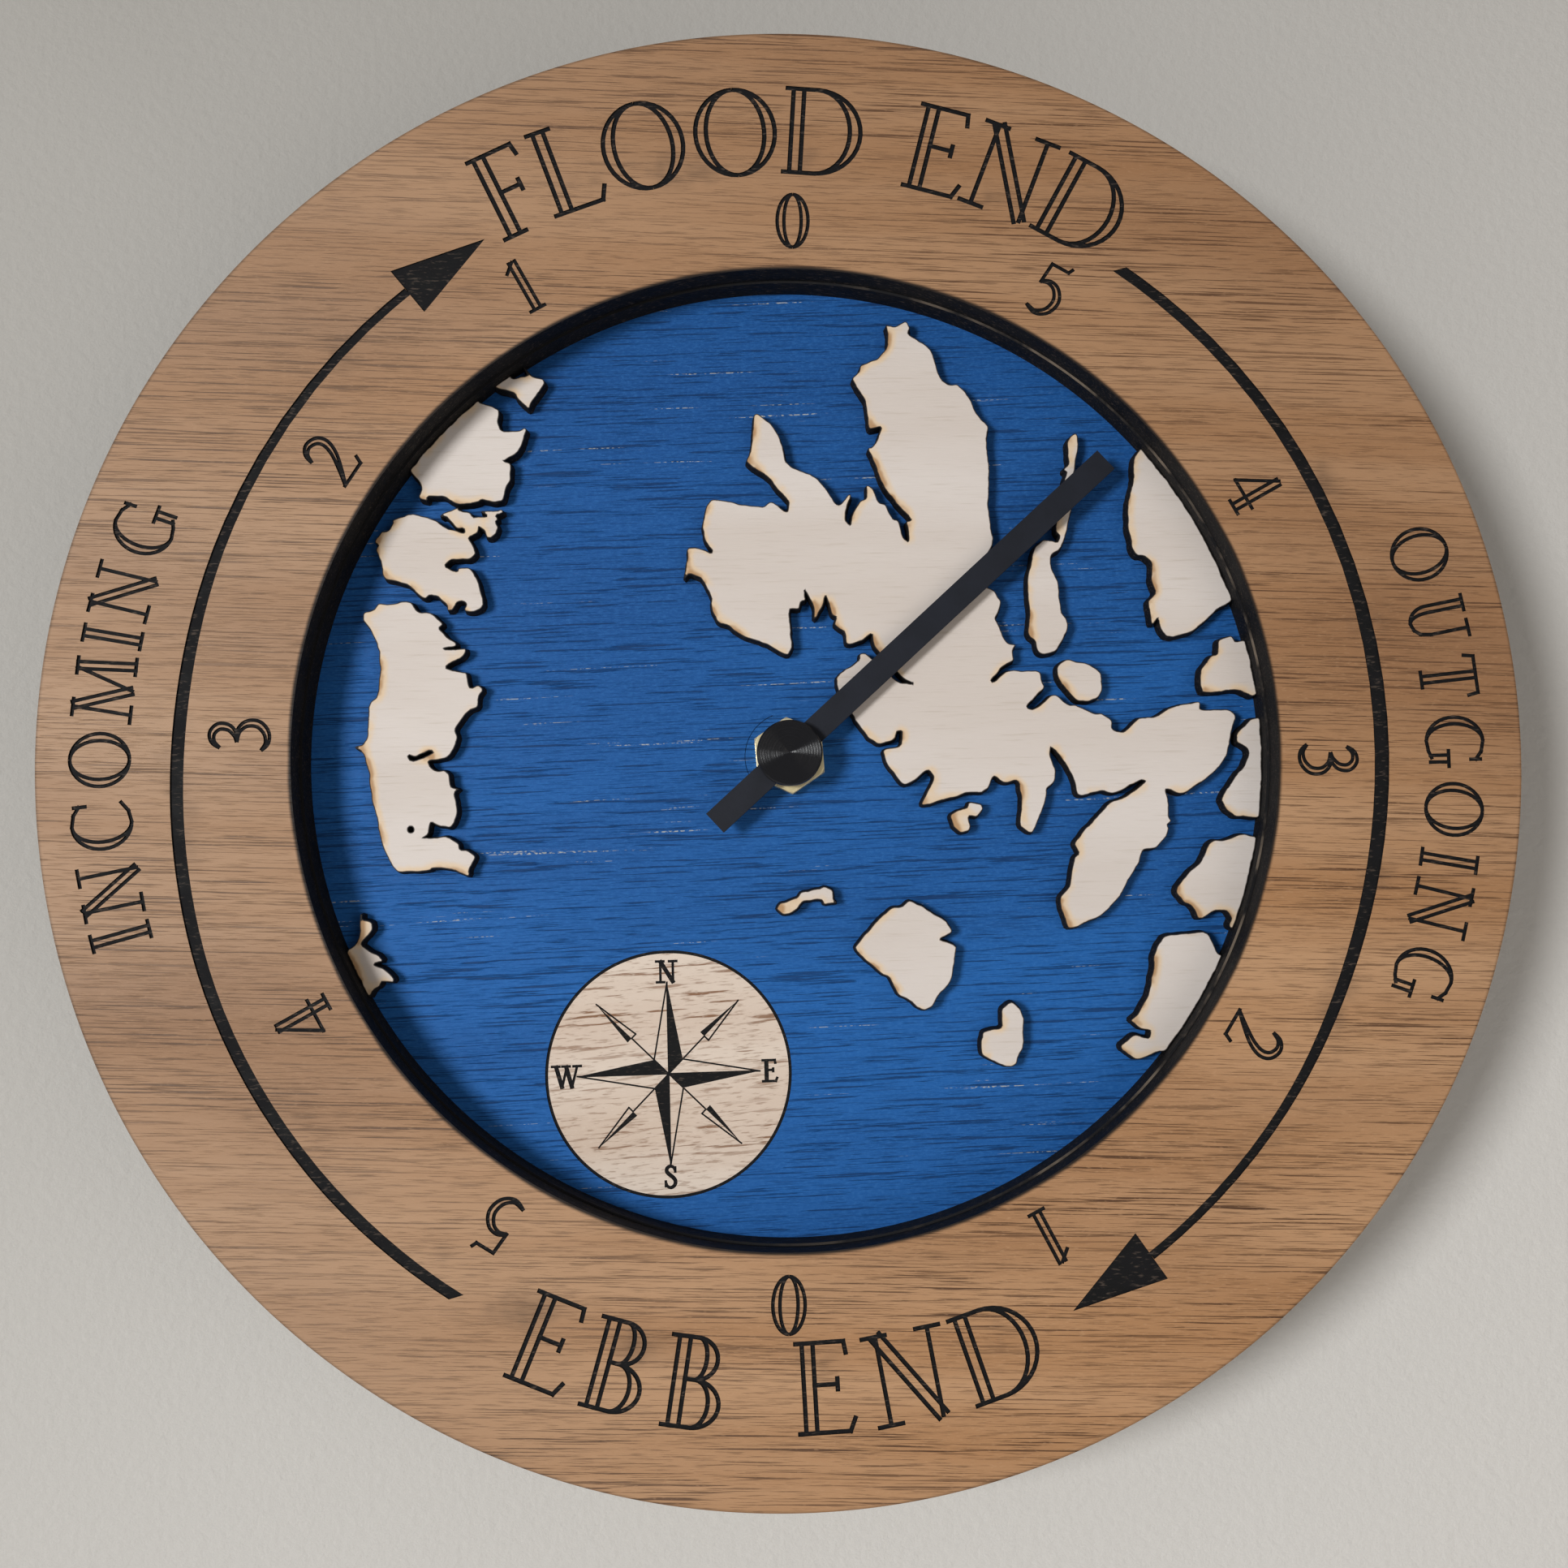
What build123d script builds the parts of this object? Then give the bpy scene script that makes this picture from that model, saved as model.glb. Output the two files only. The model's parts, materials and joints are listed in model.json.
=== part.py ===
from build123d import *
import os
from math import atan2, cos, pi, radians, sin

# A layered wooden tide clock: two plywood rings over a painted dial with thin land pieces glued on it,
# one hand, and a quartz movement behind the dial that turns the hand once in a tide.
# Each piece is drawn in dial coordinates, x to the right, y up and z out of the wall, in millimetres,
# with the hand's axis at x = y = 0 and the wall at z = 0. The last step turns the pieces so that +Z is up.

# Wooden layers
CLOCK_R = 150.0
RING_W = 50.2
SPACER_LEDGE = 0.5
FRONT_RING_T = 6.0
SPACER_RING_T = 6.0
DIAL_T = 6.0
LAND_T = 3.0
LAND_GAP = 0.15
TARN_R = 0.65

# Clearances
OVERRUN = 1.0
SEAT_GAP = 0.05
RUN_GAP = 0.06
END_GAP = 0.1
DIAL_HOLE_GAP = 0.25
MESH_GAP = 0.1

# Movement case, open at the back, with a battery bay below the train; its contents set its size
CASE_WALL = 1.5
CASE_FRONT_T = 1.4
CASE_CORNER_R = 4.0
COVER_T = 1.5
COVER_LEDGE = 0.7
PIVOT_DEPTH = 1.0
PIVOT_BOSS_R = 1.4
PIVOT_BOSS_H = 0.5
TRAIN_SIDE_GAP = 0.6
TRAIN_TOP_GAP = 3.5
TRAIN_LOW_GAP = 0.8
TRAIN_BACK_GAP = 0.6
TRAIN_FRONT_GAP = 0.7

# Battery, an AA cell, and its leaf contacts
BATTERY_R = 7.25
BATTERY_L = 50.5
BATTERY_EDGE = 0.6
NUB_R = 2.75
NUB_L = 1.0
BAY_GAP = 0.4
BAY_FLOOR_GAP = 0.2
BAY_BACK_GAP = 0.4
CONTACT_ROOM = 1.25
CONTACT_T = 0.4
CONTACT_W = 9.0
CONTACT_SIDE_GAP = 0.15
BOW_INSET = 1.0
BOW_RISE = 0.7
BOW_FOOT = 1.6

# Bush, gasket, hanger and nut on the hand's axis
BUSH_R = 4.75
BUSH_FLANGE_R = 6.5
BUSH_FLANGE_T = 1.0
BUSH_PROUD = 1.0
HANGER_T = 1.5
HANGER_R = 14.0
HANGER_EYE_R = 9.0
HANGER_EYE_RISE = 10.0
HANGING_HOLE_R = 3.2
GASKET_R = 12.0
GASKET_T = 1.0
NUT_FLATS = 14.0
NUT_T = 3.0
NUT_CHAMFER = 0.5
NUT_TURN = 95.0

# Hand and cap
HAND_W = 5.3
HAND_END_GAP = 8.3
HAND_TAIL = 21.0
HAND_T = 0.7
HAND_BOSS_R = 5.5
HAND_LIFT = 1.2
HAND_TURN = -46.8
CAP_R = 6.75
CAP_T = 2.7
CAP_CHAMFER = 0.3
CAP_HOLE_DEPTH = 1.3

# Wheels: counts of teeth, and the module that each meshing pair shares
ROTOR_TEETH = 8
FIFTH_TEETH = 56
FIFTH_PINION_TEETH = 8
FOURTH_TEETH = 56
FOURTH_PINION_TEETH = 8
THIRD_TEETH = 64
THIRD_PINION_TEETH = 8
CENTRE_TEETH = 38
CANNON_TEETH = 10
MINUTE_TEETH = 30
MINUTE_PINION_TEETH = 10
HOUR_TEETH = 40
FIFTH_MODULE = 0.20
FOURTH_MODULE = 0.22
THIRD_MODULE = 0.25
CENTRE_MODULE = 0.45
MINUTE_MODULE = 0.375
ADDENDUM_SHARE = 0.7
DEDENDUM_SHARE = 1.25
TOOTH_ROOT_SHARE = 0.26
TOOTH_TIP_SHARE = 0.10

# Bearing of each arbor from the one before it, in degrees, and the wheels' thickness and spacing
THIRD_BEARING = 120.0
FOURTH_BEARING = 60.0
FIFTH_BEARING = 0.0
ROTOR_BEARING = -20.0
MINUTE_BEARING = -20.0
WHEEL_T = 0.8
PINION_LAP = 0.3
LEVELS = 6
LEVEL_STEP = 2.0
ARBOR_R = 0.5
MINUTE_POST_R = 0.7
CANNON_R = 1.2
CLUTCH_R = 2.0
CLUTCH_T = 0.5
HOUR_TUBE_R = 2.8
SPIGOT_R = 2.3
SPIGOT_RISE = 1.2

# Setting knob in the back of the cover
KNOB_R = 5.0
KNOB_T = 1.6
KNOB_SUNK = 0.3
KNOB_GAP = 0.3
KNOB_SLOT_W = 1.2
KNOB_SLOT_DEPTH = 0.6

# Stepping motor: rotor magnet, stator frame and coil
MAGNET_R = 2.2
MAGNET_L = 2.4
MAGNET_GAP = 0.5
STATOR_RISE = 1.0
STATOR_T = 1.2
STATOR_BELOW = 15.7
STATOR_ABOVE = 8.3
POLE_WALL = 0.6
YOKE_W = 3.6
CORE_W = 3.0
COIL_SIDE_GAP = 1.6
COIL_R = 3.6
BOBBIN_R = 2.2
FLANGE_RIM = 0.6
FLANGE_T = 0.8
STATOR_POST_R = 1.4

# Circuit board with its chip and crystal
BOARD_SIDE_GAP = 1.0
BOARD_LOW_GAP = 3.7
BOARD_W = 10.0
BOARD_H = 26.0
BOARD_T = 0.8
BOARD_STANDOFF = 1.9
BOARD_POST_R = 1.2
BOARD_POST_INSET = 3.0
CHIP_DROP = 5.0
CHIP_R = 3.0
CHIP_RISE = 1.2
CRYSTAL_SIDE = 2.0
CRYSTAL_RISE = 5.0
CRYSTAL_R = 1.0
CRYSTAL_L = 6.2

# Outlines of the land, as shares of the opening's radius, clockwise from the top of each piece
NW_ISLET_SHARES = [
    (-0.564, 0.823), (-0.543, 0.800), (-0.519, 0.793), (-0.516, 0.783), (-0.543, 0.743), (-0.549, 0.727),
    (-0.574, 0.751), (-0.578, 0.761), (-0.617, 0.774), (-0.640, 0.782), (-0.602, 0.803), (-0.591, 0.804),
    (-0.584, 0.794), (-0.552, 0.800),
]
WEST_COAST_TOP_SHARES = [
    (-0.672, 0.765), (-0.651, 0.741), (-0.620, 0.732), (-0.611, 0.727), (-0.611, 0.715), (-0.614, 0.698),
    (-0.606, 0.681), (-0.568, 0.683), (-0.558, 0.689), (-0.553, 0.685), (-0.563, 0.650), (-0.570, 0.636),
    (-0.602, 0.617), (-0.588, 0.613), (-0.584, 0.606), (-0.585, 0.578), (-0.596, 0.555), (-0.600, 0.531),
    (-0.617, 0.528), (-0.645, 0.536), (-0.651, 0.528), (-0.696, 0.524), (-0.721, 0.540), (-0.757, 0.541),
    (-0.756, 0.530), (-0.771, 0.533), (-0.776, 0.540), (-0.769, 0.557), (-0.775, 0.571), (-0.800, 0.600),
    (-0.830, 0.620), (-0.800, 0.680),
]
WEST_COAST_MIDDLE_SHARES = [
    (-0.829, 0.490), (-0.791, 0.505), (-0.745, 0.493), (-0.717, 0.474), (-0.679, 0.463), (-0.681, 0.474),
    (-0.696, 0.473), (-0.719, 0.501), (-0.731, 0.497), (-0.724, 0.504), (-0.693, 0.518), (-0.692, 0.512),
    (-0.668, 0.507), (-0.661, 0.497), (-0.629, 0.499), (-0.650, 0.511), (-0.612, 0.511), (-0.603, 0.515),
    (-0.598, 0.508), (-0.616, 0.502), (-0.610, 0.494), (-0.615, 0.488), (-0.609, 0.477), (-0.614, 0.463),
    (-0.624, 0.453), (-0.633, 0.454), (-0.637, 0.470), (-0.651, 0.480), (-0.652, 0.463), (-0.672, 0.454),
    (-0.657, 0.432), (-0.655, 0.419), (-0.669, 0.407), (-0.688, 0.408), (-0.709, 0.407), (-0.720, 0.393),
    (-0.693, 0.381), (-0.691, 0.389), (-0.667, 0.392), (-0.650, 0.365), (-0.636, 0.315), (-0.643, 0.303),
    (-0.657, 0.296), (-0.678, 0.300), (-0.672, 0.315), (-0.681, 0.319), (-0.692, 0.316), (-0.701, 0.301),
    (-0.712, 0.300), (-0.713, 0.312), (-0.733, 0.328), (-0.749, 0.332), (-0.759, 0.323), (-0.784, 0.343),
    (-0.797, 0.355), (-0.845, 0.365), (-0.850, 0.400), (-0.862, 0.427), (-0.856, 0.437), (-0.865, 0.444),
    (-0.851, 0.465), (-0.837, 0.467), (-0.828, 0.483),
]
WEST_COAST_LONG_SHARES = [
    (-0.885, 0.294), (-0.863, 0.300), (-0.854, 0.314), (-0.835, 0.311), (-0.791, 0.320), (-0.774, 0.298),
    (-0.748, 0.295), (-0.719, 0.272), (-0.731, 0.263), (-0.712, 0.243), (-0.693, 0.233), (-0.692, 0.224),
    (-0.721, 0.221), (-0.714, 0.217), (-0.674, 0.221), (-0.671, 0.212), (-0.678, 0.203), (-0.717, 0.180),
    (-0.689, 0.171), (-0.670, 0.169), (-0.663, 0.137), (-0.645, 0.143), (-0.637, 0.135), (-0.644, 0.122),
    (-0.647, 0.099), (-0.663, 0.092), (-0.693, 0.052), (-0.685, 0.036), (-0.704, -0.009), (-0.748, -0.014),
    (-0.741, -0.028), (-0.728, -0.035), (-0.712, -0.033), (-0.702, -0.042), (-0.700, -0.069),
    (-0.681, -0.072), (-0.692, -0.080), (-0.683, -0.125), (-0.692, -0.146), (-0.700, -0.153),
    (-0.722, -0.150), (-0.740, -0.139), (-0.744, -0.166), (-0.758, -0.175), (-0.712, -0.170),
    (-0.681, -0.184), (-0.679, -0.198), (-0.663, -0.199), (-0.644, -0.213), (-0.660, -0.240),
    (-0.659, -0.253), (-0.700, -0.237), (-0.734, -0.236), (-0.740, -0.243), (-0.804, -0.244),
    (-0.818, -0.232), (-0.826, -0.212), (-0.843, -0.173), (-0.849, -0.135), (-0.864, -0.081),
    (-0.868, -0.039), (-0.878, -0.001), (-0.886, 0.009), (-0.900, 0.013), (-0.882, 0.018), (-0.872, 0.032),
    (-0.871, 0.092), (-0.867, 0.108), (-0.854, 0.117), (-0.848, 0.171), (-0.851, 0.209), (-0.860, 0.239),
    (-0.884, 0.278),
]
LAKE_SHARES = [
    (-0.789, -0.002), (-0.785, -0.013), (-0.775, -0.015), (-0.745, -0.003), (-0.735, 0.003), (-0.741, 0.008),
    (-0.763, -0.002), (-0.774, -0.006),
]
TARN_CENTRE_SHARES = (-0.780, -0.157)
WEST_SKERRY_SHARES = [
    (-0.881, -0.330), (-0.875, -0.330), (-0.876, -0.342), (-0.855, -0.348), (-0.854, -0.364),
    (-0.878, -0.391), (-0.862, -0.406), (-0.839, -0.416), (-0.831, -0.427), (-0.852, -0.433),
    (-0.830, -0.440), (-0.809, -0.460), (-0.808, -0.470), (-0.834, -0.467), (-0.838, -0.478),
    (-0.850, -0.487), (-0.858, -0.506), (-0.880, -0.530), (-0.940, -0.420), (-0.908, -0.407),
    (-0.886, -0.391), (-0.879, -0.364),
]
MAIN_ISLAND_SHARES = [
    (0.201, 0.921), (0.222, 0.915), (0.246, 0.929), (0.256, 0.913), (0.251, 0.901), (0.289, 0.876),
    (0.301, 0.863), (0.321, 0.800), (0.339, 0.791), (0.354, 0.793), (0.374, 0.775), (0.402, 0.719),
    (0.421, 0.701), (0.417, 0.672), (0.423, 0.593), (0.419, 0.532), (0.429, 0.464), (0.428, 0.445),
    (0.408, 0.410), (0.404, 0.385), (0.410, 0.358), (0.431, 0.350), (0.446, 0.325), (0.440, 0.302),
    (0.431, 0.290), (0.458, 0.236), (0.476, 0.235), (0.469, 0.224), (0.473, 0.201), (0.449, 0.189),
    (0.421, 0.156), (0.428, 0.157), (0.456, 0.180), (0.501, 0.180), (0.526, 0.180), (0.530, 0.159),
    (0.538, 0.144), (0.495, 0.103), (0.512, 0.098), (0.555, 0.132), (0.588, 0.107), (0.600, 0.109),
    (0.641, 0.089), (0.655, 0.092), (0.677, 0.074), (0.676, 0.056), (0.703, 0.049), (0.731, 0.081),
    (0.769, 0.084), (0.808, 0.107), (0.864, 0.117), (0.863, 0.098), (0.927, 0.101), (0.941, 0.088),
    (0.929, 0.049), (0.921, 0.001), (0.905, -0.021), (0.886, -0.039), (0.822, -0.082), (0.786, -0.066),
    (0.796, -0.098), (0.795, -0.126), (0.801, -0.136), (0.790, -0.144), (0.795, -0.151), (0.789, -0.171),
    (0.764, -0.193), (0.740, -0.195), (0.729, -0.226), (0.685, -0.300), (0.652, -0.333), (0.628, -0.343),
    (0.600, -0.358), (0.580, -0.361), (0.573, -0.344), (0.561, -0.296), (0.586, -0.269), (0.589, -0.237),
    (0.593, -0.215), (0.606, -0.203), (0.593, -0.184), (0.619, -0.153), (0.644, -0.126), (0.674, -0.094),
    (0.699, -0.088), (0.749, -0.053), (0.738, -0.049), (0.707, -0.066), (0.677, -0.079), (0.654, -0.073),
    (0.602, -0.086), (0.597, -0.050), (0.568, -0.003), (0.547, 0.021), (0.546, 0.005), (0.558, -0.032),
    (0.556, -0.054), (0.538, -0.069), (0.537, -0.089), (0.516, -0.146), (0.505, -0.163), (0.480, -0.148),
    (0.485, -0.087), (0.478, -0.051), (0.449, -0.057), (0.426, -0.041), (0.416, -0.070), (0.400, -0.078),
    (0.377, -0.076), (0.323, -0.093), (0.270, -0.107), (0.295, -0.063), (0.300, -0.046), (0.291, -0.029),
    (0.267, -0.048), (0.242, -0.062), (0.232, -0.059), (0.199, -0.014), (0.195, 0.012), (0.232, 0.019),
    (0.236, 0.052), (0.224, 0.052), (0.223, 0.036), (0.211, 0.029), (0.185, 0.023), (0.159, 0.040),
    (0.141, 0.070), (0.100, 0.132), (0.097, 0.168), (0.146, 0.200), (0.146, 0.214), (0.161, 0.216),
    (0.193, 0.183), (0.228, 0.154), (0.262, 0.150), (0.235, 0.162), (0.208, 0.197), (0.174, 0.231),
    (0.173, 0.259), (0.155, 0.242), (0.118, 0.232), (0.116, 0.259), (0.092, 0.274), (0.098, 0.292),
    (0.088, 0.295), (0.075, 0.338), (0.071, 0.317), (0.050, 0.282), (0.050, 0.313), (0.030, 0.351),
    (0.034, 0.326), (0.024, 0.324), (0.019, 0.307), (-0.002, 0.308), (0.006, 0.228), (-0.004, 0.207),
    (-0.054, 0.235), (-0.099, 0.249), (-0.131, 0.273), (-0.149, 0.276), (-0.164, 0.310), (-0.164, 0.332),
    (-0.183, 0.369), (-0.211, 0.381), (-0.222, 0.369), (-0.215, 0.409), (-0.215, 0.435), (-0.202, 0.438),
    (-0.159, 0.424), (-0.180, 0.455), (-0.184, 0.481), (-0.176, 0.526), (-0.162, 0.541), (-0.086, 0.528),
    (-0.057, 0.525), (-0.039, 0.537), (-0.013, 0.516), (-0.004, 0.514), (-0.002, 0.537), (-0.022, 0.555),
    (-0.043, 0.586), (-0.093, 0.620), (-0.082, 0.646), (-0.079, 0.694), (-0.075, 0.722), (-0.067, 0.723),
    (-0.038, 0.702), (-0.017, 0.664), (-0.009, 0.623), (0.004, 0.610), (0.049, 0.592), (0.077, 0.565),
    (0.101, 0.525), (0.131, 0.559), (0.114, 0.498), (0.128, 0.486), (0.131, 0.509), (0.148, 0.539),
    (0.162, 0.544), (0.162, 0.573), (0.174, 0.567), (0.187, 0.536), (0.202, 0.532), (0.217, 0.500),
    (0.229, 0.498), (0.239, 0.459), (0.252, 0.450), (0.246, 0.496), (0.257, 0.498), (0.199, 0.564),
    (0.181, 0.612), (0.164, 0.652), (0.175, 0.653), (0.197, 0.701), (0.164, 0.691), (0.163, 0.745),
    (0.130, 0.800), (0.146, 0.817), (0.148, 0.831), (0.183, 0.844), (0.207, 0.873), (0.208, 0.889),
]
NARROW_ISLAND_SHARES = [
    (0.609, 0.690), (0.612, 0.656), (0.603, 0.610), (0.604, 0.570), (0.597, 0.523), (0.583, 0.464),
    (0.573, 0.441), (0.552, 0.427), (0.550, 0.406), (0.567, 0.367), (0.572, 0.305), (0.584, 0.292),
    (0.588, 0.276), (0.571, 0.237), (0.560, 0.220), (0.534, 0.214), (0.521, 0.220), (0.516, 0.243),
    (0.500, 0.256), (0.505, 0.302), (0.501, 0.354), (0.501, 0.383), (0.516, 0.441), (0.534, 0.461),
    (0.566, 0.453), (0.571, 0.467), (0.560, 0.479), (0.576, 0.540), (0.581, 0.590), (0.587, 0.605),
    (0.579, 0.610), (0.592, 0.622), (0.587, 0.667), (0.592, 0.680),
]
ROUND_ISLET_SHARES = [
    (0.563, 0.191), (0.583, 0.206), (0.605, 0.199), (0.623, 0.198), (0.641, 0.188), (0.656, 0.175),
    (0.658, 0.142), (0.648, 0.123), (0.628, 0.115), (0.602, 0.116), (0.573, 0.149), (0.562, 0.167),
]
EAST_COAST_UPPER_SHARES = [
    (0.747, 0.671), (0.775, 0.700), (0.900, 0.520), (0.990, 0.360), (0.942, 0.334), (0.902, 0.310),
    (0.863, 0.273), (0.849, 0.263), (0.806, 0.252), (0.794, 0.254), (0.783, 0.268), (0.777, 0.294),
    (0.767, 0.279), (0.762, 0.281), (0.756, 0.327), (0.774, 0.348), (0.762, 0.372), (0.766, 0.411),
    (0.750, 0.426), (0.735, 0.427), (0.726, 0.438), (0.716, 0.481), (0.716, 0.542), (0.729, 0.590),
    (0.730, 0.638), (0.745, 0.655),
]
EAST_COAST_POINT_SHARES = [
    (0.934, 0.259), (0.942, 0.243), (0.969, 0.249), (1.020, 0.250), (1.030, 0.130), (0.991, 0.137),
    (0.975, 0.129), (0.946, 0.142), (0.870, 0.132), (0.864, 0.161), (0.866, 0.183), (0.889, 0.214),
    (0.904, 0.217), (0.904, 0.246),
]
EAST_COAST_MIDDLE_SHARES = [
    (0.999, 0.085), (1.030, 0.090), (1.030, -0.130), (0.956, -0.128), (0.934, -0.126), (0.916, -0.111),
    (0.904, -0.087), (0.941, -0.036), (0.958, -0.017), (0.965, 0.003), (0.962, 0.018), (0.940, 0.029),
    (0.941, 0.049), (0.971, 0.080),
]
EAST_COAST_LOWER_SHARES = [
    (0.880, -0.178), (0.919, -0.174), (0.950, -0.160), (0.988, -0.171), (1.030, -0.170), (0.990, -0.340),
    (0.945, -0.395), (0.917, -0.353), (0.925, -0.339), (0.911, -0.324), (0.888, -0.323), (0.863, -0.340),
    (0.853, -0.340), (0.838, -0.311), (0.823, -0.307), (0.807, -0.285), (0.811, -0.271), (0.841, -0.237),
    (0.858, -0.223), (0.869, -0.204),
]
SOUTHEAST_COAST_SHARES = [
    (0.779, -0.377), (0.796, -0.372), (0.872, -0.367), (0.893, -0.411), (0.908, -0.422), (0.945, -0.432),
    (0.890, -0.530), (0.820, -0.650), (0.796, -0.610), (0.765, -0.615), (0.719, -0.634), (0.683, -0.605),
    (0.715, -0.579), (0.746, -0.589), (0.751, -0.572), (0.730, -0.569), (0.705, -0.551), (0.725, -0.537),
    (0.747, -0.493), (0.757, -0.447), (0.757, -0.422), (0.771, -0.391),
]
INSHORE_ISLET_SHARES = [
    (0.374, -0.097), (0.400, -0.102), (0.404, -0.111), (0.391, -0.130), (0.373, -0.126), (0.378, -0.149),
    (0.374, -0.158), (0.356, -0.161), (0.344, -0.151), (0.333, -0.125), (0.354, -0.112), (0.370, -0.109),
]
SOUTH_SKERRY_SHARES = [
    (0.023, -0.284), (0.061, -0.279), (0.074, -0.273), (0.090, -0.282), (0.090, -0.299), (0.101, -0.308),
    (0.072, -0.312), (0.067, -0.300), (0.029, -0.304), (0.018, -0.320), (0.003, -0.330), (-0.012, -0.332),
    (-0.028, -0.320), (-0.020, -0.308), (0.018, -0.296),
]
SOUTH_ISLAND_SHARES = [
    (0.132, -0.402), (0.161, -0.368), (0.201, -0.325), (0.214, -0.316), (0.230, -0.317), (0.249, -0.301),
    (0.273, -0.312), (0.301, -0.331), (0.314, -0.335), (0.329, -0.348), (0.339, -0.368), (0.309, -0.383),
    (0.341, -0.392), (0.348, -0.400), (0.339, -0.454), (0.333, -0.473), (0.307, -0.501), (0.298, -0.521),
    (0.281, -0.529), (0.264, -0.524), (0.251, -0.510), (0.224, -0.497), (0.206, -0.460), (0.191, -0.454),
]
SOUTH_ISLET_SHARES = [
    (0.462, -0.511), (0.480, -0.527), (0.486, -0.547), (0.485, -0.607), (0.477, -0.619), (0.470, -0.639),
    (0.458, -0.647), (0.431, -0.640), (0.396, -0.619), (0.396, -0.595), (0.401, -0.575), (0.414, -0.569),
    (0.440, -0.565), (0.438, -0.527), (0.452, -0.515),
]
LAND_SHARES = {
    "nw_islet": NW_ISLET_SHARES,
    "west_coast_top": WEST_COAST_TOP_SHARES,
    "west_coast_middle": WEST_COAST_MIDDLE_SHARES,
    "west_coast_long": WEST_COAST_LONG_SHARES,
    "west_skerry": WEST_SKERRY_SHARES,
    "main_island": MAIN_ISLAND_SHARES,
    "narrow_island": NARROW_ISLAND_SHARES,
    "round_islet": ROUND_ISLET_SHARES,
    "east_coast_upper": EAST_COAST_UPPER_SHARES,
    "east_coast_point": EAST_COAST_POINT_SHARES,
    "east_coast_middle": EAST_COAST_MIDDLE_SHARES,
    "east_coast_lower": EAST_COAST_LOWER_SHARES,
    "southeast_coast": SOUTHEAST_COAST_SHARES,
    "inshore_islet": INSHORE_ISLET_SHARES,
    "south_skerry": SOUTH_SKERRY_SHARES,
    "south_island": SOUTH_ISLAND_SHARES,
    "south_islet": SOUTH_ISLET_SHARES,
}

# The opening, and how far the hand reaches in it
OPENING_R = CLOCK_R - RING_W
SPACER_R = OPENING_R - SPACER_LEDGE
HAND_REACH = SPACER_R - HAND_END_GAP

# The motion work's second pair has the same centre distance as its first
HOUR_MODULE = MINUTE_MODULE * (CANNON_TEETH + MINUTE_TEETH) / (MINUTE_PINION_TEETH + HOUR_TEETH)


def tip_radius(teeth, module):
    """Radius of a gear over its teeth."""
    return module * (teeth / 2 + ADDENDUM_SHARE)


def mesh_distance(module, teeth, other_teeth):
    """Distance between the axes of two wheels that mesh."""
    return module * (teeth + other_teeth) / 2 + MESH_GAP


def step(place, distance, bearing):
    """The place a distance away from another, at a bearing in degrees."""
    return (place[0] + distance * cos(radians(bearing)), place[1] + distance * sin(radians(bearing)))


CENTRE_AT = (0.0, 0.0)
THIRD_AT = step(CENTRE_AT, mesh_distance(CENTRE_MODULE, CENTRE_TEETH, THIRD_PINION_TEETH), THIRD_BEARING)
FOURTH_AT = step(THIRD_AT, mesh_distance(THIRD_MODULE, THIRD_TEETH, FOURTH_PINION_TEETH), FOURTH_BEARING)
FIFTH_AT = step(FOURTH_AT, mesh_distance(FOURTH_MODULE, FOURTH_TEETH, FIFTH_PINION_TEETH), FIFTH_BEARING)
ROTOR_AT = step(FIFTH_AT, mesh_distance(FIFTH_MODULE, FIFTH_TEETH, ROTOR_TEETH), ROTOR_BEARING)
MINUTE_AT = step(CENTRE_AT, mesh_distance(MINUTE_MODULE, CANNON_TEETH, MINUTE_TEETH), MINUTE_BEARING)
ARBORS_AT = (THIRD_AT, FOURTH_AT, FIFTH_AT, ROTOR_AT)

# The stator is a closed frame: the rotor turns in its left bar and the coil is wound on its right bar
POLE_W = 2 * (MAGNET_R + MAGNET_GAP + POLE_WALL)
FLANGE_R = COIL_R + FLANGE_RIM
STATOR_LEFT = ROTOR_AT[0] - POLE_W / 2
WINDOW_LEFT = ROTOR_AT[0] + POLE_W / 2
COIL_X = WINDOW_LEFT + COIL_SIDE_GAP + FLANGE_R
STATOR_RIGHT = COIL_X + CORE_W / 2
WINDOW_RIGHT = COIL_X - CORE_W / 2
STATOR_LOW = ROTOR_AT[1] - STATOR_BELOW
STATOR_HIGH = ROTOR_AT[1] + STATOR_ABOVE
WINDOW_LOW = STATOR_LOW + YOKE_W
WINDOW_HIGH = STATOR_HIGH - YOKE_W
BOBBIN_L = WINDOW_HIGH - WINDOW_LOW - 2 * END_GAP
COIL_Y = (WINDOW_HIGH + WINDOW_LOW) / 2
STATOR_POST_X = (WINDOW_LEFT + WINDOW_RIGHT) / 2
STATOR_POSTS_Y = (STATOR_LOW + YOKE_W / 2, STATOR_HIGH - YOKE_W / 2)

# The train's room over the battery bay, seen from the front, and the case round both
TRAIN_W = 2 * (COIL_X + FLANGE_R + TRAIN_SIDE_GAP)
TRAIN_LOW = -tip_radius(CENTRE_TEETH, CENTRE_MODULE) - TRAIN_LOW_GAP
TRAIN_HIGH = STATOR_HIGH + TRAIN_TOP_GAP
BAY_W = BATTERY_L + 2 * CONTACT_ROOM
BAY_H = 2 * (BATTERY_R + BAY_GAP)
BATTERY_Y = TRAIN_LOW - CASE_WALL - BAY_H / 2
CASE_LOW = BATTERY_Y - BAY_H / 2 - CASE_WALL
CASE_HIGH = TRAIN_HIGH + CASE_WALL
CASE_HALF_W = max(BAY_W, TRAIN_W) / 2 + CASE_WALL
INNER_CORNER_R = CASE_CORNER_R - CASE_WALL
CONTACT_H = BAY_H - 2 * (INNER_CORNER_R + CONTACT_SIDE_GAP)
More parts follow.
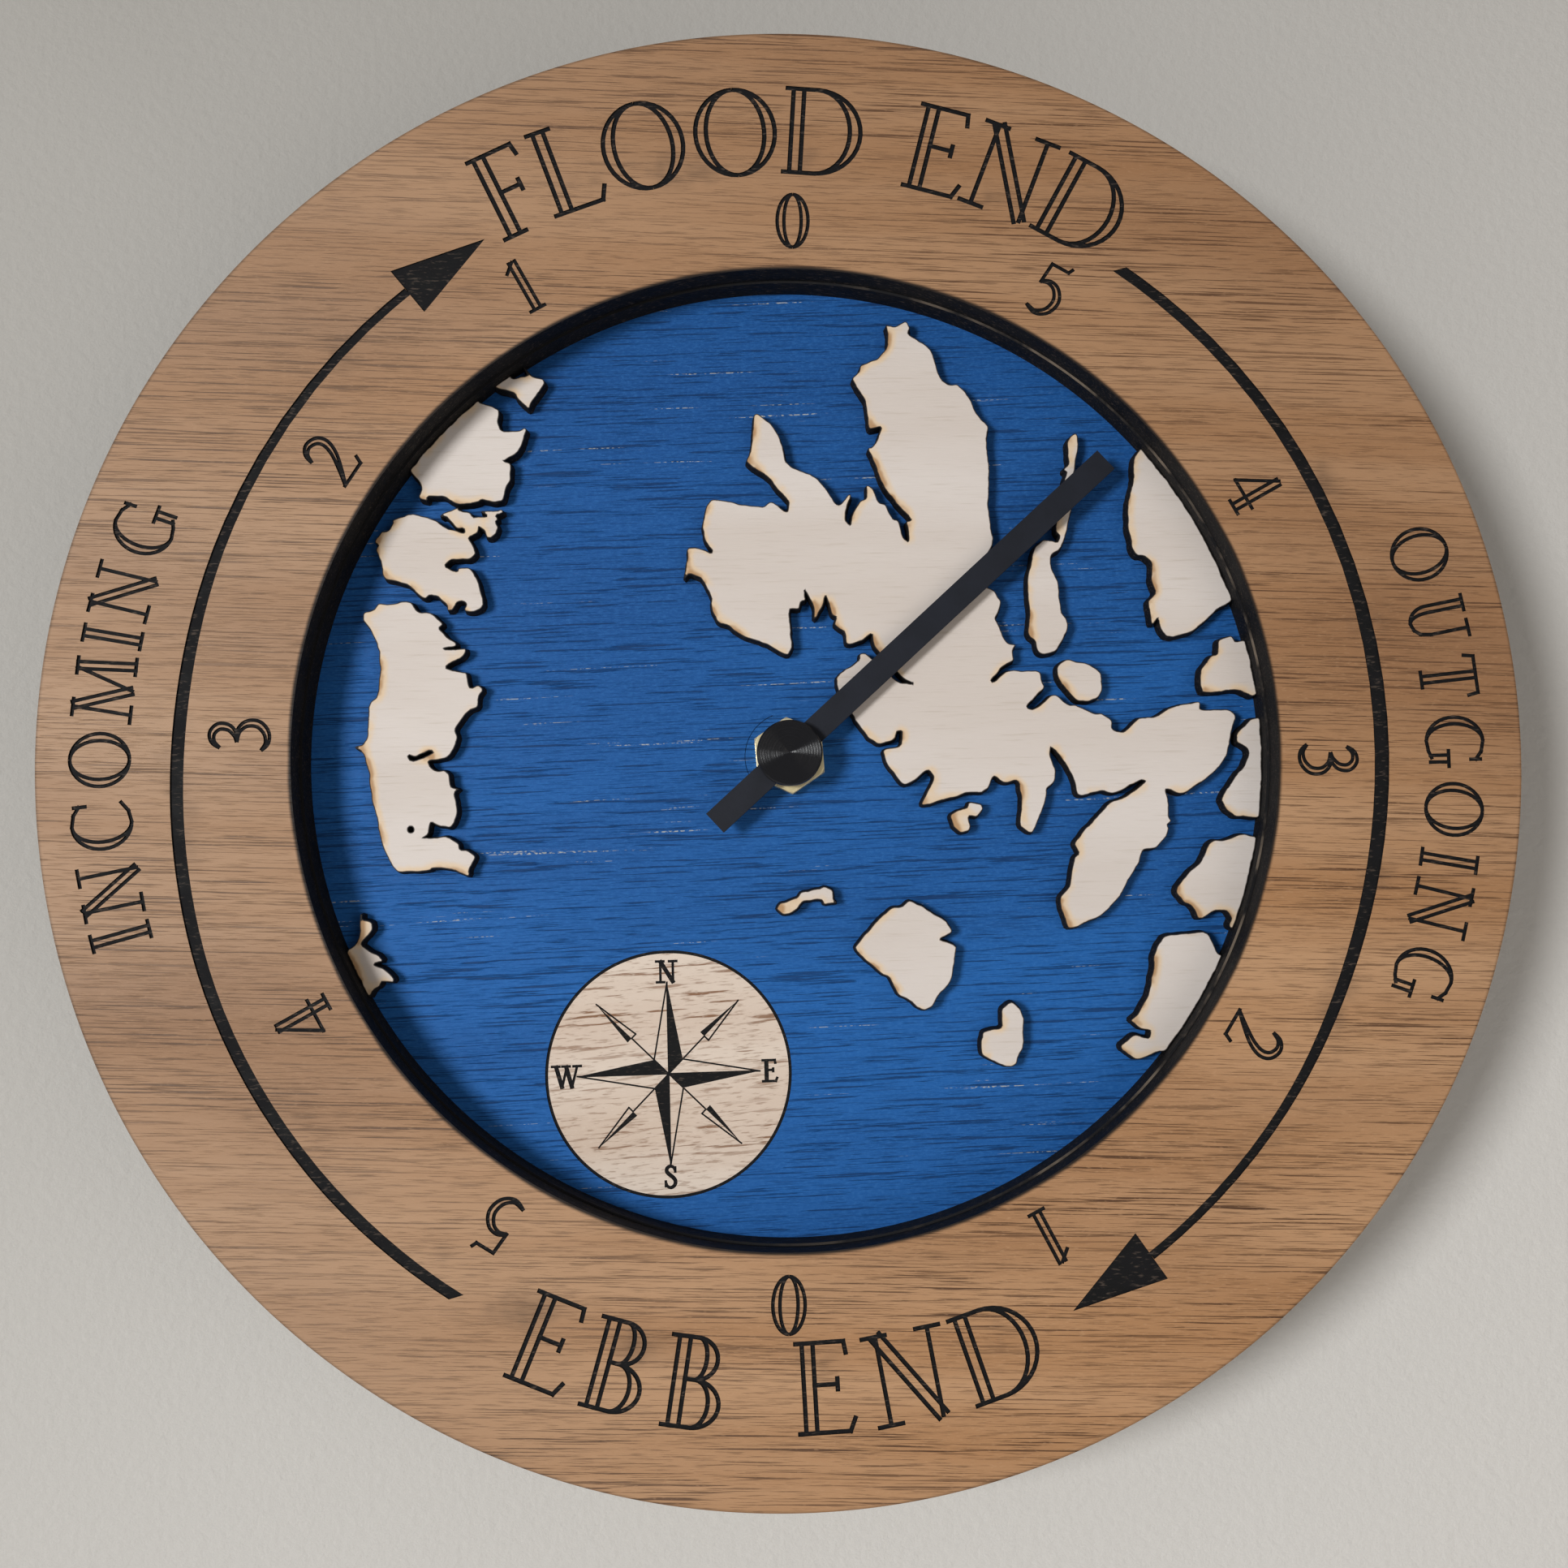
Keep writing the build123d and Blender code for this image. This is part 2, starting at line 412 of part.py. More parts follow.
BOW_H = CONTACT_H - 2 * BOW_INSET
HANGER_EYE_Y = CASE_HIGH + HANGER_EYE_RISE

# The case is as deep as the cell or the levels of wheels need
LEVELS_H = (LEVELS - 1) * LEVEL_STEP + WHEEL_T
TRAIN_BACK = COVER_T + PIVOT_BOSS_H + TRAIN_BACK_GAP
TRAIN_DEPTH = TRAIN_BACK + LEVELS_H + TRAIN_FRONT_GAP + BUSH_FLANGE_T
BAY_DEPTH = BAY_BACK_GAP + 2 * BATTERY_R + BAY_FLOOR_GAP
CASE_FLOOR = max(TRAIN_DEPTH, BAY_DEPTH)
CASE_D = CASE_FLOOR + CASE_FRONT_T

# Levels out from the wall
HOUR_Z = CASE_FLOOR - BUSH_FLANGE_T - TRAIN_FRONT_GAP - WHEEL_T
MINUTE_Z = HOUR_Z - LEVEL_STEP
CENTRE_Z = MINUTE_Z - LEVEL_STEP
THIRD_Z = CENTRE_Z - LEVEL_STEP
FOURTH_Z = THIRD_Z - LEVEL_STEP
FIFTH_Z = FOURTH_Z - LEVEL_STEP
STATOR_Z = FOURTH_Z + STATOR_RISE
STATOR_TOP = STATOR_Z + STATOR_T
COIL_Z = STATOR_Z + STATOR_T / 2
BATTERY_Z = CASE_FLOOR - BAY_FLOOR_GAP - BATTERY_R
ARBOR_BACK = COVER_T - PIVOT_DEPTH + END_GAP
ARBOR_FRONT = CASE_FLOOR + PIVOT_DEPTH - END_GAP
HANGER_Z = CASE_D
GASKET_Z = HANGER_Z + HANGER_T
DIAL_Z = GASKET_Z + GASKET_T
LAND_Z = DIAL_Z + DIAL_T
FRONT_RING_Z = LAND_Z + SPACER_RING_T
BUSH_TOP = LAND_Z + NUT_T + BUSH_PROUD
HAND_Z = BUSH_TOP + HAND_LIFT
CAP_Z = HAND_Z + HAND_T

# The board stands off the case's front wall, at the left of the train's room
BOARD_X = BOARD_SIDE_GAP + BOARD_W / 2 - TRAIN_W / 2
BOARD_Y = TRAIN_LOW + BOARD_LOW_GAP + BOARD_H / 2
BOARD_TOP = CASE_FLOOR - BOARD_STANDOFF
BOARD_Z = BOARD_TOP - BOARD_T
BOARD_POSTS_Y = (BOARD_Y - BOARD_H / 2 + BOARD_POST_INSET, BOARD_Y + BOARD_H / 2 - BOARD_POST_INSET)
CRYSTAL_Z = BOARD_Z - SEAT_GAP - CRYSTAL_R


def plate(outline, low, high):
    """A flat outline given thickness between two levels."""
    return Pos(0, 0, low) * extrude(outline, amount=high - low, dir=(0, 0, 1))


def rod(radius, low, high, place=CENTRE_AT):
    """A round bar along z between two levels."""
    return plate(Pos(place[0], place[1], 0) * Circle(radius), low, high)


def rectangle(left, right, low, high):
    """A rectangle from its four sides."""
    return Pos((left + right) / 2, (low + high) / 2, 0) * Rectangle(right - left, high - low)


def rounded_rectangle(half_width, low, high, corner_r):
    """A rectangle with round corners, centred on x = 0."""
    return Pos(0, (low + high) / 2, 0) * RectangleRounded(2 * half_width, high - low, corner_r)


def bar_along_y(radius, length, x, y, z):
    """A round bar along y, centred on a point."""
    return Pos(x, y, z) * Rot(90, 0, 0) * Cylinder(radius, length)


def ring(outer_r, inner_r, low, high):
    """A flat ring between two levels."""
    return plate(Circle(outer_r) - Circle(inner_r), low, high)


def land_face(shares):
    """The outline of a land piece, cut short of the spacer ring."""
    points = [(x_share * OPENING_R, y_share * OPENING_R) for x_share, y_share in shares]
    return make_face(Polyline(*points, close=True)) & Circle(SPACER_R - LAND_GAP)


def land_piece(name):
    """A thin land piece on the dial; the longest coast has a lake and a small round tarn."""
    face = land_face(LAND_SHARES[name])
    if name == "west_coast_long":
        tarn_x, tarn_y = (share * OPENING_R for share in TARN_CENTRE_SHARES)
        face = face - land_face(LAKE_SHARES) - Pos(tarn_x, tarn_y, 0) * Circle(TARN_R)
    return plate(face, LAND_Z, LAND_Z + LAND_T)


def gear(teeth, module, phase):
    """The outline of a spur gear with straight flanks, one tooth centred on the phase angle in radians."""
    pitch = 2 * pi / teeth
    tip_r = tip_radius(teeth, module)
    root_r = module * (teeth / 2 - DEDENDUM_SHARE)
    flank = (
        (root_r, -TOOTH_ROOT_SHARE),
        (tip_r, -TOOTH_TIP_SHARE),
        (tip_r, TOOTH_TIP_SHARE),
        (root_r, TOOTH_ROOT_SHARE),
    )
    points = []
    for tooth in range(teeth):
        for radius, pitch_share in flank:
            angle = phase + (tooth + pitch_share) * pitch
            points.append((radius * cos(angle), radius * sin(angle)))
    return make_face(Polyline(*points, close=True))


def bearing(place, other):
    """The angle in radians at which one place sees another."""
    return atan2(other[1] - place[1], other[0] - place[0])


def driving_gear(teeth, module, place, other):
    """A gear with a tooth on the line to the gear that it meshes with."""
    return Pos(place[0], place[1], 0) * gear(teeth, module, bearing(place, other))


def driven_gear(teeth, module, place, other):
    """A gear with a gap on the line to the gear that it meshes with."""
    return Pos(place[0], place[1], 0) * gear(teeth, module, bearing(place, other) + pi / teeth)


def wheel(outline, level):
    """A toothed wheel at its level."""
    return plate(outline, level, level + WHEEL_T)


def pinion(outline, level):
    """A pinion that laps over both sides of the wheel at a level."""
    return plate(outline, level - PINION_LAP, level + WHEEL_T + PINION_LAP)


def arbor(place):
    """An arbor from its pivot in the rear cover to its pivot in the case."""
    return rod(ARBOR_R, ARBOR_BACK, ARBOR_FRONT, place)


def pivot_holes(low, high):
    """The holes that the arbors turn in."""
    return [rod(ARBOR_R + RUN_GAP, low, high, place) for place in ARBORS_AT]


def front_ring():
    return ring(CLOCK_R, OPENING_R, FRONT_RING_Z, FRONT_RING_Z + FRONT_RING_T)


def spacer_ring():
    return ring(CLOCK_R, SPACER_R, LAND_Z, LAND_Z + SPACER_RING_T)


def dial_disc():
    return ring(CLOCK_R, BUSH_R + DIAL_HOLE_GAP, DIAL_Z, LAND_Z)


def movement_case():
    """The moulded shell: two rooms open at the back, a ledge for the cover, posts and pivot holes."""
    shell = plate(rounded_rectangle(CASE_HALF_W, CASE_LOW, CASE_HIGH, CASE_CORNER_R), 0, CASE_D)
    bay_high = BATTERY_Y + BAY_H / 2
    bay = rounded_rectangle(BAY_W / 2, bay_high - BAY_H, bay_high, INNER_CORNER_R)
    train_room = rounded_rectangle(TRAIN_W / 2, TRAIN_LOW, TRAIN_HIGH, INNER_CORNER_R)
    shell -= plate(bay, -OVERRUN, CASE_FLOOR)
    shell -= plate(train_room, -OVERRUN, CASE_FLOOR)
    shell -= plate(cover_outline(0), -OVERRUN, COVER_T)
    for y in STATOR_POSTS_Y:
        shell += rod(STATOR_POST_R, STATOR_TOP, CASE_FLOOR, (STATOR_POST_X, y))
    for y in BOARD_POSTS_Y:
        shell += rod(BOARD_POST_R, BOARD_TOP, CASE_FLOOR, (BOARD_X, y))
    shell += rod(MINUTE_POST_R, MINUTE_Z - PINION_LAP, CASE_FLOOR, MINUTE_AT)
    shell -= rod(BUSH_R + SEAT_GAP, 0, CASE_D + OVERRUN)
    return shell - pivot_holes(CASE_FLOOR - END_GAP, CASE_FLOOR + PIVOT_DEPTH)


def cover_outline(gap):
    """The outline of the recess that takes the rear cover, less a gap all round."""
    ledge = COVER_LEDGE - gap
    return rounded_rectangle(TRAIN_W / 2 + ledge, TRAIN_LOW - ledge, TRAIN_HIGH + ledge, INNER_CORNER_R)


def rear_cover():
    """The cover over the train, with bosses for the pivots and a hole for the setting knob."""
    cover = plate(cover_outline(SEAT_GAP), 0, COVER_T)
    for place in ARBORS_AT:
        cover += rod(PIVOT_BOSS_R, 0, COVER_T + PIVOT_BOSS_H, place)
    cover -= rod(KNOB_R + KNOB_GAP, -OVERRUN, COVER_T + OVERRUN)
    return cover - pivot_holes(COVER_T - PIVOT_DEPTH, COVER_T + PIVOT_BOSS_H + OVERRUN)


def battery():
    """The cell, with turned-in edges and a raised positive end to the right."""
    can_l = BATTERY_L - NUB_L
    can = Cylinder(BATTERY_R, can_l)
    can = chamfer(can.edges().filter_by(GeomType.CIRCLE), BATTERY_EDGE)
    can += Pos(0, 0, can_l / 2 + NUB_L / 2) * Cylinder(NUB_R, NUB_L)
    return Pos(-NUB_L / 2, BATTERY_Y, BATTERY_Z) * Rot(0, 90, 0) * can


def contact(side):
    """A leaf contact at one end of the bay: a flat strip with a bowed spring towards the cell."""
    foot = CONTACT_T
    crest = CONTACT_T + BOW_RISE
    outer = ThreePointArc((foot, -BOW_H / 2), (crest, 0), (foot, BOW_H / 2))
    inner_h = BOW_H / 2 - BOW_FOOT
    inner = ThreePointArc((foot, -inner_h), (crest - CONTACT_T, 0), (foot, inner_h))
    bow = make_face(outer + Line((foot, -BOW_H / 2), (foot, BOW_H / 2)))
    bow -= make_face(inner + Line((foot, -inner_h), (foot, inner_h)))
    strip = rectangle(0, foot, -CONTACT_H / 2, CONTACT_H / 2) + bow
    low = BATTERY_Z - CONTACT_W / 2
    leaf = plate(strip, low, low + CONTACT_W)
    wall_x = BAY_W / 2 - SEAT_GAP
    if side > 0:
        leaf = Rot(0, 0, 180) * leaf
    return Pos(side * wall_x, BATTERY_Y, 0) * leaf


def contact_minus():
    return contact(-1)


def contact_plus():
    return contact(1)


def threaded_bush():
    """The tube through case, hanger and dial, held inside the case by its flange."""
    tube = rod(BUSH_R, CASE_FLOOR, BUSH_TOP)
    tube += rod(BUSH_FLANGE_R, CASE_FLOOR - BUSH_FLANGE_T, CASE_FLOOR)
    return tube - rod(HOUR_TUBE_R + RUN_GAP, 0, BUSH_TOP + OVERRUN)


def hanger_plate():
    """A steel plate on the bush, with an eye above the case for a nail."""
    eye = Pos(0, HANGER_EYE_Y, 0) * Circle(HANGER_EYE_R)
    outline = make_hull(Circle(HANGER_R).edges() + eye.edges())
    outline -= Circle(BUSH_R + SEAT_GAP)
    outline -= Pos(0, HANGER_EYE_Y, 0) * Circle(HANGING_HOLE_R)
    return plate(outline, HANGER_Z, HANGER_Z + HANGER_T)


def rubber_gasket():
    return ring(GASKET_R, BUSH_R + SEAT_GAP, GASKET_Z, GASKET_Z + GASKET_T)


def hex_nut():
    """The nut that clamps the dial, its front corners turned off."""
    corner_r = NUT_FLATS / 2 / cos(pi / 6)
    blank = rod(corner_r, LAND_Z, LAND_Z + NUT_T)
    blank = chamfer(blank.edges().group_by(Axis.Z)[-1], NUT_CHAMFER)
    flats = RegularPolygon(NUT_FLATS / 2, 6, major_radius=False, rotation=NUT_TURN)
    return (blank & plate(flats, LAND_Z, LAND_Z + NUT_T)) - rod(BUSH_R + SEAT_GAP, LAND_Z, BUSH_TOP)


def tide_hand():
    """A straight baton with a tail, and a round boss under the cap."""
    baton = rectangle(-HAND_W / 2, HAND_W / 2, -HAND_TAIL, HAND_REACH) + Circle(HAND_BOSS_R)
    baton -= Circle(SPIGOT_R + SEAT_GAP)
    return Rot(0, 0, HAND_TURN) * plate(baton, HAND_Z, HAND_Z + HAND_T)


def hand_cap():
    """The turned cap over the end of the hour tube."""
    cap = rod(CAP_R, CAP_Z, CAP_Z + CAP_T)
    cap = chamfer(cap.edges().group_by(Axis.Z)[-1], CAP_CHAMFER)
    return cap - rod(SPIGOT_R + SEAT_GAP, CAP_Z - OVERRUN, CAP_Z + CAP_HOLE_DEPTH)


def hour_wheel():
    """The wheel whose tube comes out through the bush and carries the hand on its spigot."""
    outline = driven_gear(HOUR_TEETH, HOUR_MODULE, CENTRE_AT, MINUTE_AT)
    tube = wheel(outline, HOUR_Z) + rod(HOUR_TUBE_R, HOUR_Z, HAND_Z)
    tube += rod(SPIGOT_R, HAND_Z, CAP_Z + SPIGOT_RISE)
    return tube - rod(CANNON_R + RUN_GAP, 0, CAP_Z + SPIGOT_RISE + OVERRUN)


def minute_wheel():
    """The wheel and pinion on the post beside the centre."""
    post_hole = rod(MINUTE_POST_R + RUN_GAP, 0, CASE_D, MINUTE_AT)
    small = driving_gear(MINUTE_PINION_TEETH, HOUR_MODULE, MINUTE_AT, CENTRE_AT)
    body = wheel(driven_gear(MINUTE_TEETH, MINUTE_MODULE, MINUTE_AT, CENTRE_AT), MINUTE_Z)
    body += plate(small, MINUTE_Z + WHEEL_T, HOUR_Z + WHEEL_T + PINION_LAP)
    return body - post_hole


def cannon_arbor():
    """The arbor through the centre, with the cannon pinion and the seat of the centre wheel's clutch."""
    shaft = rod(CANNON_R, KNOB_SUNK + KNOB_T - PIVOT_DEPTH, CAP_Z)
    shaft += pinion(driving_gear(CANNON_TEETH, MINUTE_MODULE, CENTRE_AT, MINUTE_AT), MINUTE_Z)
    return shaft + rod(CLUTCH_R, CENTRE_Z - END_GAP - CLUTCH_T, CENTRE_Z - END_GAP)


def setting_knob():
    """The knob sunk in the back, with a slot for a coin or a fingernail."""
    knob = rod(KNOB_R, KNOB_SUNK, KNOB_SUNK + KNOB_T)
    slot = rectangle(-KNOB_R, KNOB_R, -KNOB_SLOT_W / 2, KNOB_SLOT_W / 2)
    knob -= plate(slot, KNOB_SUNK - OVERRUN, KNOB_SUNK + KNOB_SLOT_DEPTH)
    socket_low = KNOB_SUNK + KNOB_T - PIVOT_DEPTH
    return knob - rod(CANNON_R + SEAT_GAP, socket_low, KNOB_SUNK + KNOB_T + OVERRUN)


def centre_wheel():
    """The last wheel of the train, which drives the cannon arbor through a friction clutch."""
    outline = driven_gear(CENTRE_TEETH, CENTRE_MODULE, CENTRE_AT, THIRD_AT)
    return wheel(outline, CENTRE_Z) - rod(CANNON_R + RUN_GAP, CENTRE_Z - OVERRUN, CENTRE_Z + WHEEL_T + OVERRUN)


def third_wheel():
    body = arbor(THIRD_AT)
    body += wheel(driven_gear(THIRD_TEETH, THIRD_MODULE, THIRD_AT, FOURTH_AT), THIRD_Z)
    return body + pinion(driving_gear(THIRD_PINION_TEETH, CENTRE_MODULE, THIRD_AT, CENTRE_AT), CENTRE_Z)


def fourth_wheel():
    body = arbor(FOURTH_AT)
    body += wheel(driven_gear(FOURTH_TEETH, FOURTH_MODULE, FOURTH_AT, FIFTH_AT), FOURTH_Z)
    return body + pinion(driving_gear(FOURTH_PINION_TEETH, THIRD_MODULE, FOURTH_AT, THIRD_AT), THIRD_Z)


def fifth_wheel():
    body = arbor(FIFTH_AT)
    body += wheel(driven_gear(FIFTH_TEETH, FIFTH_MODULE, FIFTH_AT, ROTOR_AT), FIFTH_Z)
    return body + pinion(driving_gear(FIFTH_PINION_TEETH, FOURTH_MODULE, FIFTH_AT, FOURTH_AT), FOURTH_Z)


def rotor_pinion():
    return arbor(ROTOR_AT) + pinion(driving_gear(ROTOR_TEETH, FIFTH_MODULE, ROTOR_AT, FIFTH_AT), FIFTH_Z)


def rotor_magnet():
    """The round magnet on the rotor's arbor, level with the stator."""
    low = COIL_Z - MAGNET_L / 2
    magnet = rod(MAGNET_R, low, low + MAGNET_L, ROTOR_AT)
    return magnet - rod(ARBOR_R + SEAT_GAP, low - OVERRUN, low + MAGNET_L + OVERRUN, ROTOR_AT)


def stator():
    """The soft iron frame that carries the coil's field to the rotor."""
    frame = rectangle(STATOR_LEFT, STATOR_RIGHT, STATOR_LOW, STATOR_HIGH)
    frame -= rectangle(WINDOW_LEFT, WINDOW_RIGHT, WINDOW_LOW, WINDOW_HIGH)
    frame -= Pos(ROTOR_AT[0], ROTOR_AT[1], 0) * Circle(MAGNET_R + MAGNET_GAP)
    return plate(frame, STATOR_Z, STATOR_TOP)


def coil_bobbin():
    """A spool on the stator's right bar."""
    spool = bar_along_y(BOBBIN_R, BOBBIN_L, COIL_X, COIL_Y, COIL_Z)
    for side in (-1, 1):
        flange_y = COIL_Y + side * (BOBBIN_L - FLANGE_T) / 2
        spool += bar_along_y(FLANGE_R, FLANGE_T, COIL_X, flange_y, COIL_Z)
    return spool - Pos(COIL_X, COIL_Y, COIL_Z) * Box(
        CORE_W + 2 * SEAT_GAP, BOBBIN_L + OVERRUN, STATOR_T + 2 * SEAT_GAP
    )


def coil_winding():
    """The wound wire between the spool's flanges."""
    length = BOBBIN_L - 2 * FLANGE_T - 2 * SEAT_GAP
    winding = bar_along_y(COIL_R, length, COIL_X, COIL_Y, COIL_Z)
    return winding - bar_along_y(BOBBIN_R + SEAT_GAP, BOBBIN_L, COIL_X, COIL_Y, COIL_Z)


def circuit_board():
    outline = Pos(BOARD_X, BOARD_Y, 0) * Rectangle(BOARD_W, BOARD_H)
    return plate(outline, BOARD_Z, BOARD_TOP)


def driver_chip():
    """A drop of resin over the chip, on the board's back."""
    bowl = ThreePointArc((-CHIP_R, 0), (0, -CHIP_RISE), (CHIP_R, 0)) + Line((CHIP_R, 0), (-CHIP_R, 0))
    profile = make_face(bowl) & rectangle(0, CHIP_R, -CHIP_RISE, 0)
    drop = revolve(Plane.XZ * profile, Axis.Z)
    return Pos(BOARD_X, BOARD_Y - CHIP_DROP, BOARD_Z) * drop


def quartz_crystal():
    return bar_along_y(CRYSTAL_R, CRYSTAL_L, BOARD_X - CRYSTAL_SIDE, BOARD_Y + CRYSTAL_RISE, CRYSTAL_Z)


PIECES = (
    front_ring, spacer_ring, dial_disc, movement_case, rear_cover, battery, contact_minus, contact_plus,
    threaded_bush, hanger_plate, rubber_gasket, hex_nut, tide_hand, hand_cap, hour_wheel, minute_wheel,
    cannon_arbor, setting_knob, centre_wheel, third_wheel, fourth_wheel, fifth_wheel, rotor_pinion,
    rotor_magnet, stator, coil_bobbin, coil_winding, circuit_board, driver_chip, quartz_crystal,
)


def save(name, solid):
    """Turn a piece from dial coordinates to its place on the wall, and write it."""
    placed = Plane.XZ.location * solid
    placed.label = name
    export_step(placed, os.path.join("parts", name + ".step"))


os.makedirs("parts", exist_ok=True)
for make_piece in PIECES:
    save(make_piece.__name__, make_piece())
for land_name in LAND_SHARES:
    save(land_name, land_piece(land_name))
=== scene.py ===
import json
from math import cos, hypot, pi, radians, sin, sqrt

import bmesh
import bpy
import numpy as np
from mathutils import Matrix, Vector, noise
from mathutils.geometry import delaunay_2d_cdt


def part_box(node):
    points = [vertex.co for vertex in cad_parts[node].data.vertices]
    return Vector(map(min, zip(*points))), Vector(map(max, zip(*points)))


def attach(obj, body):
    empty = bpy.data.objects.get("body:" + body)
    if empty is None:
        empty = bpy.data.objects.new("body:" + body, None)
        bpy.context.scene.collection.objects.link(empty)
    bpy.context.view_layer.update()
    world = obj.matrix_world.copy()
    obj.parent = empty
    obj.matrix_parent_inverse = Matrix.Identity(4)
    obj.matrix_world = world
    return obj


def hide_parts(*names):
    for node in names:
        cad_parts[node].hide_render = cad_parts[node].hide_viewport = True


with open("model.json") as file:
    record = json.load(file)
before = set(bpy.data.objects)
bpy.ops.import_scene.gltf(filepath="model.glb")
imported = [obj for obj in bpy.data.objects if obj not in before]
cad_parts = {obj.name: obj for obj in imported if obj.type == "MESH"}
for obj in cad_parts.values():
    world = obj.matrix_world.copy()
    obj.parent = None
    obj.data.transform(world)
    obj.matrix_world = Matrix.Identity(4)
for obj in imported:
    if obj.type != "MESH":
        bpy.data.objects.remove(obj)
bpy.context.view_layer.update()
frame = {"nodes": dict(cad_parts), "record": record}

# The looks of a layered wooden tide clock. Flat shapes are drawn in dial coordinates, x to the right and
# y up, in millimetres, with the hand's axis at zero, and "out" is the height of a level above the wall.
MM = 0.001
NODES = frame["nodes"]

# Engraving
GROOVE = 0.35
CIRCLE_STEPS = 360
HALF_OVAL_STEPS = 18
STROKE_STEPS = 8

# Ring lettering: cap height, gap between the two lines of a stem, width of a line, length of a serif
TOP_PEN = {"height": 17.9, "gap": 2.2, "line": 0.95, "serif": 4.7}
BOTTOM_PEN = {"height": 17.4, "gap": 2.15, "line": 0.9, "serif": 4.6}
SIDE_PEN = {"height": 11.5, "gap": 1.4, "line": 0.76, "serif": 3.2}
DIGIT_PEN = {"height": 11.0, "gap": 1.4, "line": 0.74, "serif": 3.1}
COMPASS_PEN = {"height": 4.3, "gap": 0.36, "line": 0.54, "serif": 1.5}

# Each legend: its words, pen, baseline radius, first and last bearing clockwise from the top, tops outward
LEGENDS = (
    ("FLOOD END", TOP_PEN, 120.2, -29.0, 32.0, True),
    ("EBB END", BOTTOM_PEN, 134.8, 204.5, 157.0, False),
    ("INCOMING", SIDE_PEN, 131.6, 253.5, 291.0, True),
    ("OUTGOING", SIDE_PEN, 130.5, 70.0, 111.5, True),
)
SCALE_DIGITS = "054321054321"
SCALE_BEARINGS = (0.2, 29.0, 60.2, 90.6, 121.6, 151.8, 180.0, 211.2, 240.5, 271.3, 302.4, 330.2)
SCALE_R = 110.0

# Each arrow: bearing, radius and width along its line, from its tail to its head, then the bearing of its tip
ARROWS = (
    (((34.6, 121.7, 2.3), (60.0, 121.6, 2.6), (90.0, 121.1, 3.0), (110.0, 121.4, 2.6), (126.0, 122.8, 1.9),
      (144.4, 124.1, 1.7)), 153.2, 125.0),
    (((211.6, 126.1, 2.2), (226.0, 125.5, 2.5), (245.0, 124.4, 2.5), (260.0, 122.9, 2.6), (275.0, 121.8, 2.6),
      (292.0, 121.9, 2.2), (320.2, 122.3, 1.8)), 329.2, 122.5),
)
ARROW_HEAD_HALF = 5.5
ARROW_TAIL_SLANT = 0.9

# Compass on the dial
COMPASS_AT = (-24.8, -65.9)
COMPASS_R = 25.4
COMPASS_TURN = 1.6
COMPASS_LINE = 0.62
POINT_L = 18.8
POINT_WAIST = 2.95
POINT_LINE = 0.34
DART_FROM = 10.6
DART_TIP = 20.7
DART_HALF = 1.2
COMPASS_LETTER_R = 21.0
HUB_MARK_R = 9.3
HUB_MARK_W = 0.12
HUB_MARK_SPAN = (236.0, 338.0)

# Land: smoothing of the cut outline, and the scorch that the cutting left round it
LAND_STEP = 0.45
LAND_WOBBLE = 0.2
LAND_WAVE = 3.0
LAND_GRID = 0.75
LAND_TAPER = 0.35
SCORCH_REACH = 1.5
SCORCH_RIM = 0.4
SCORCH_SIDE = (-0.85, -0.35)

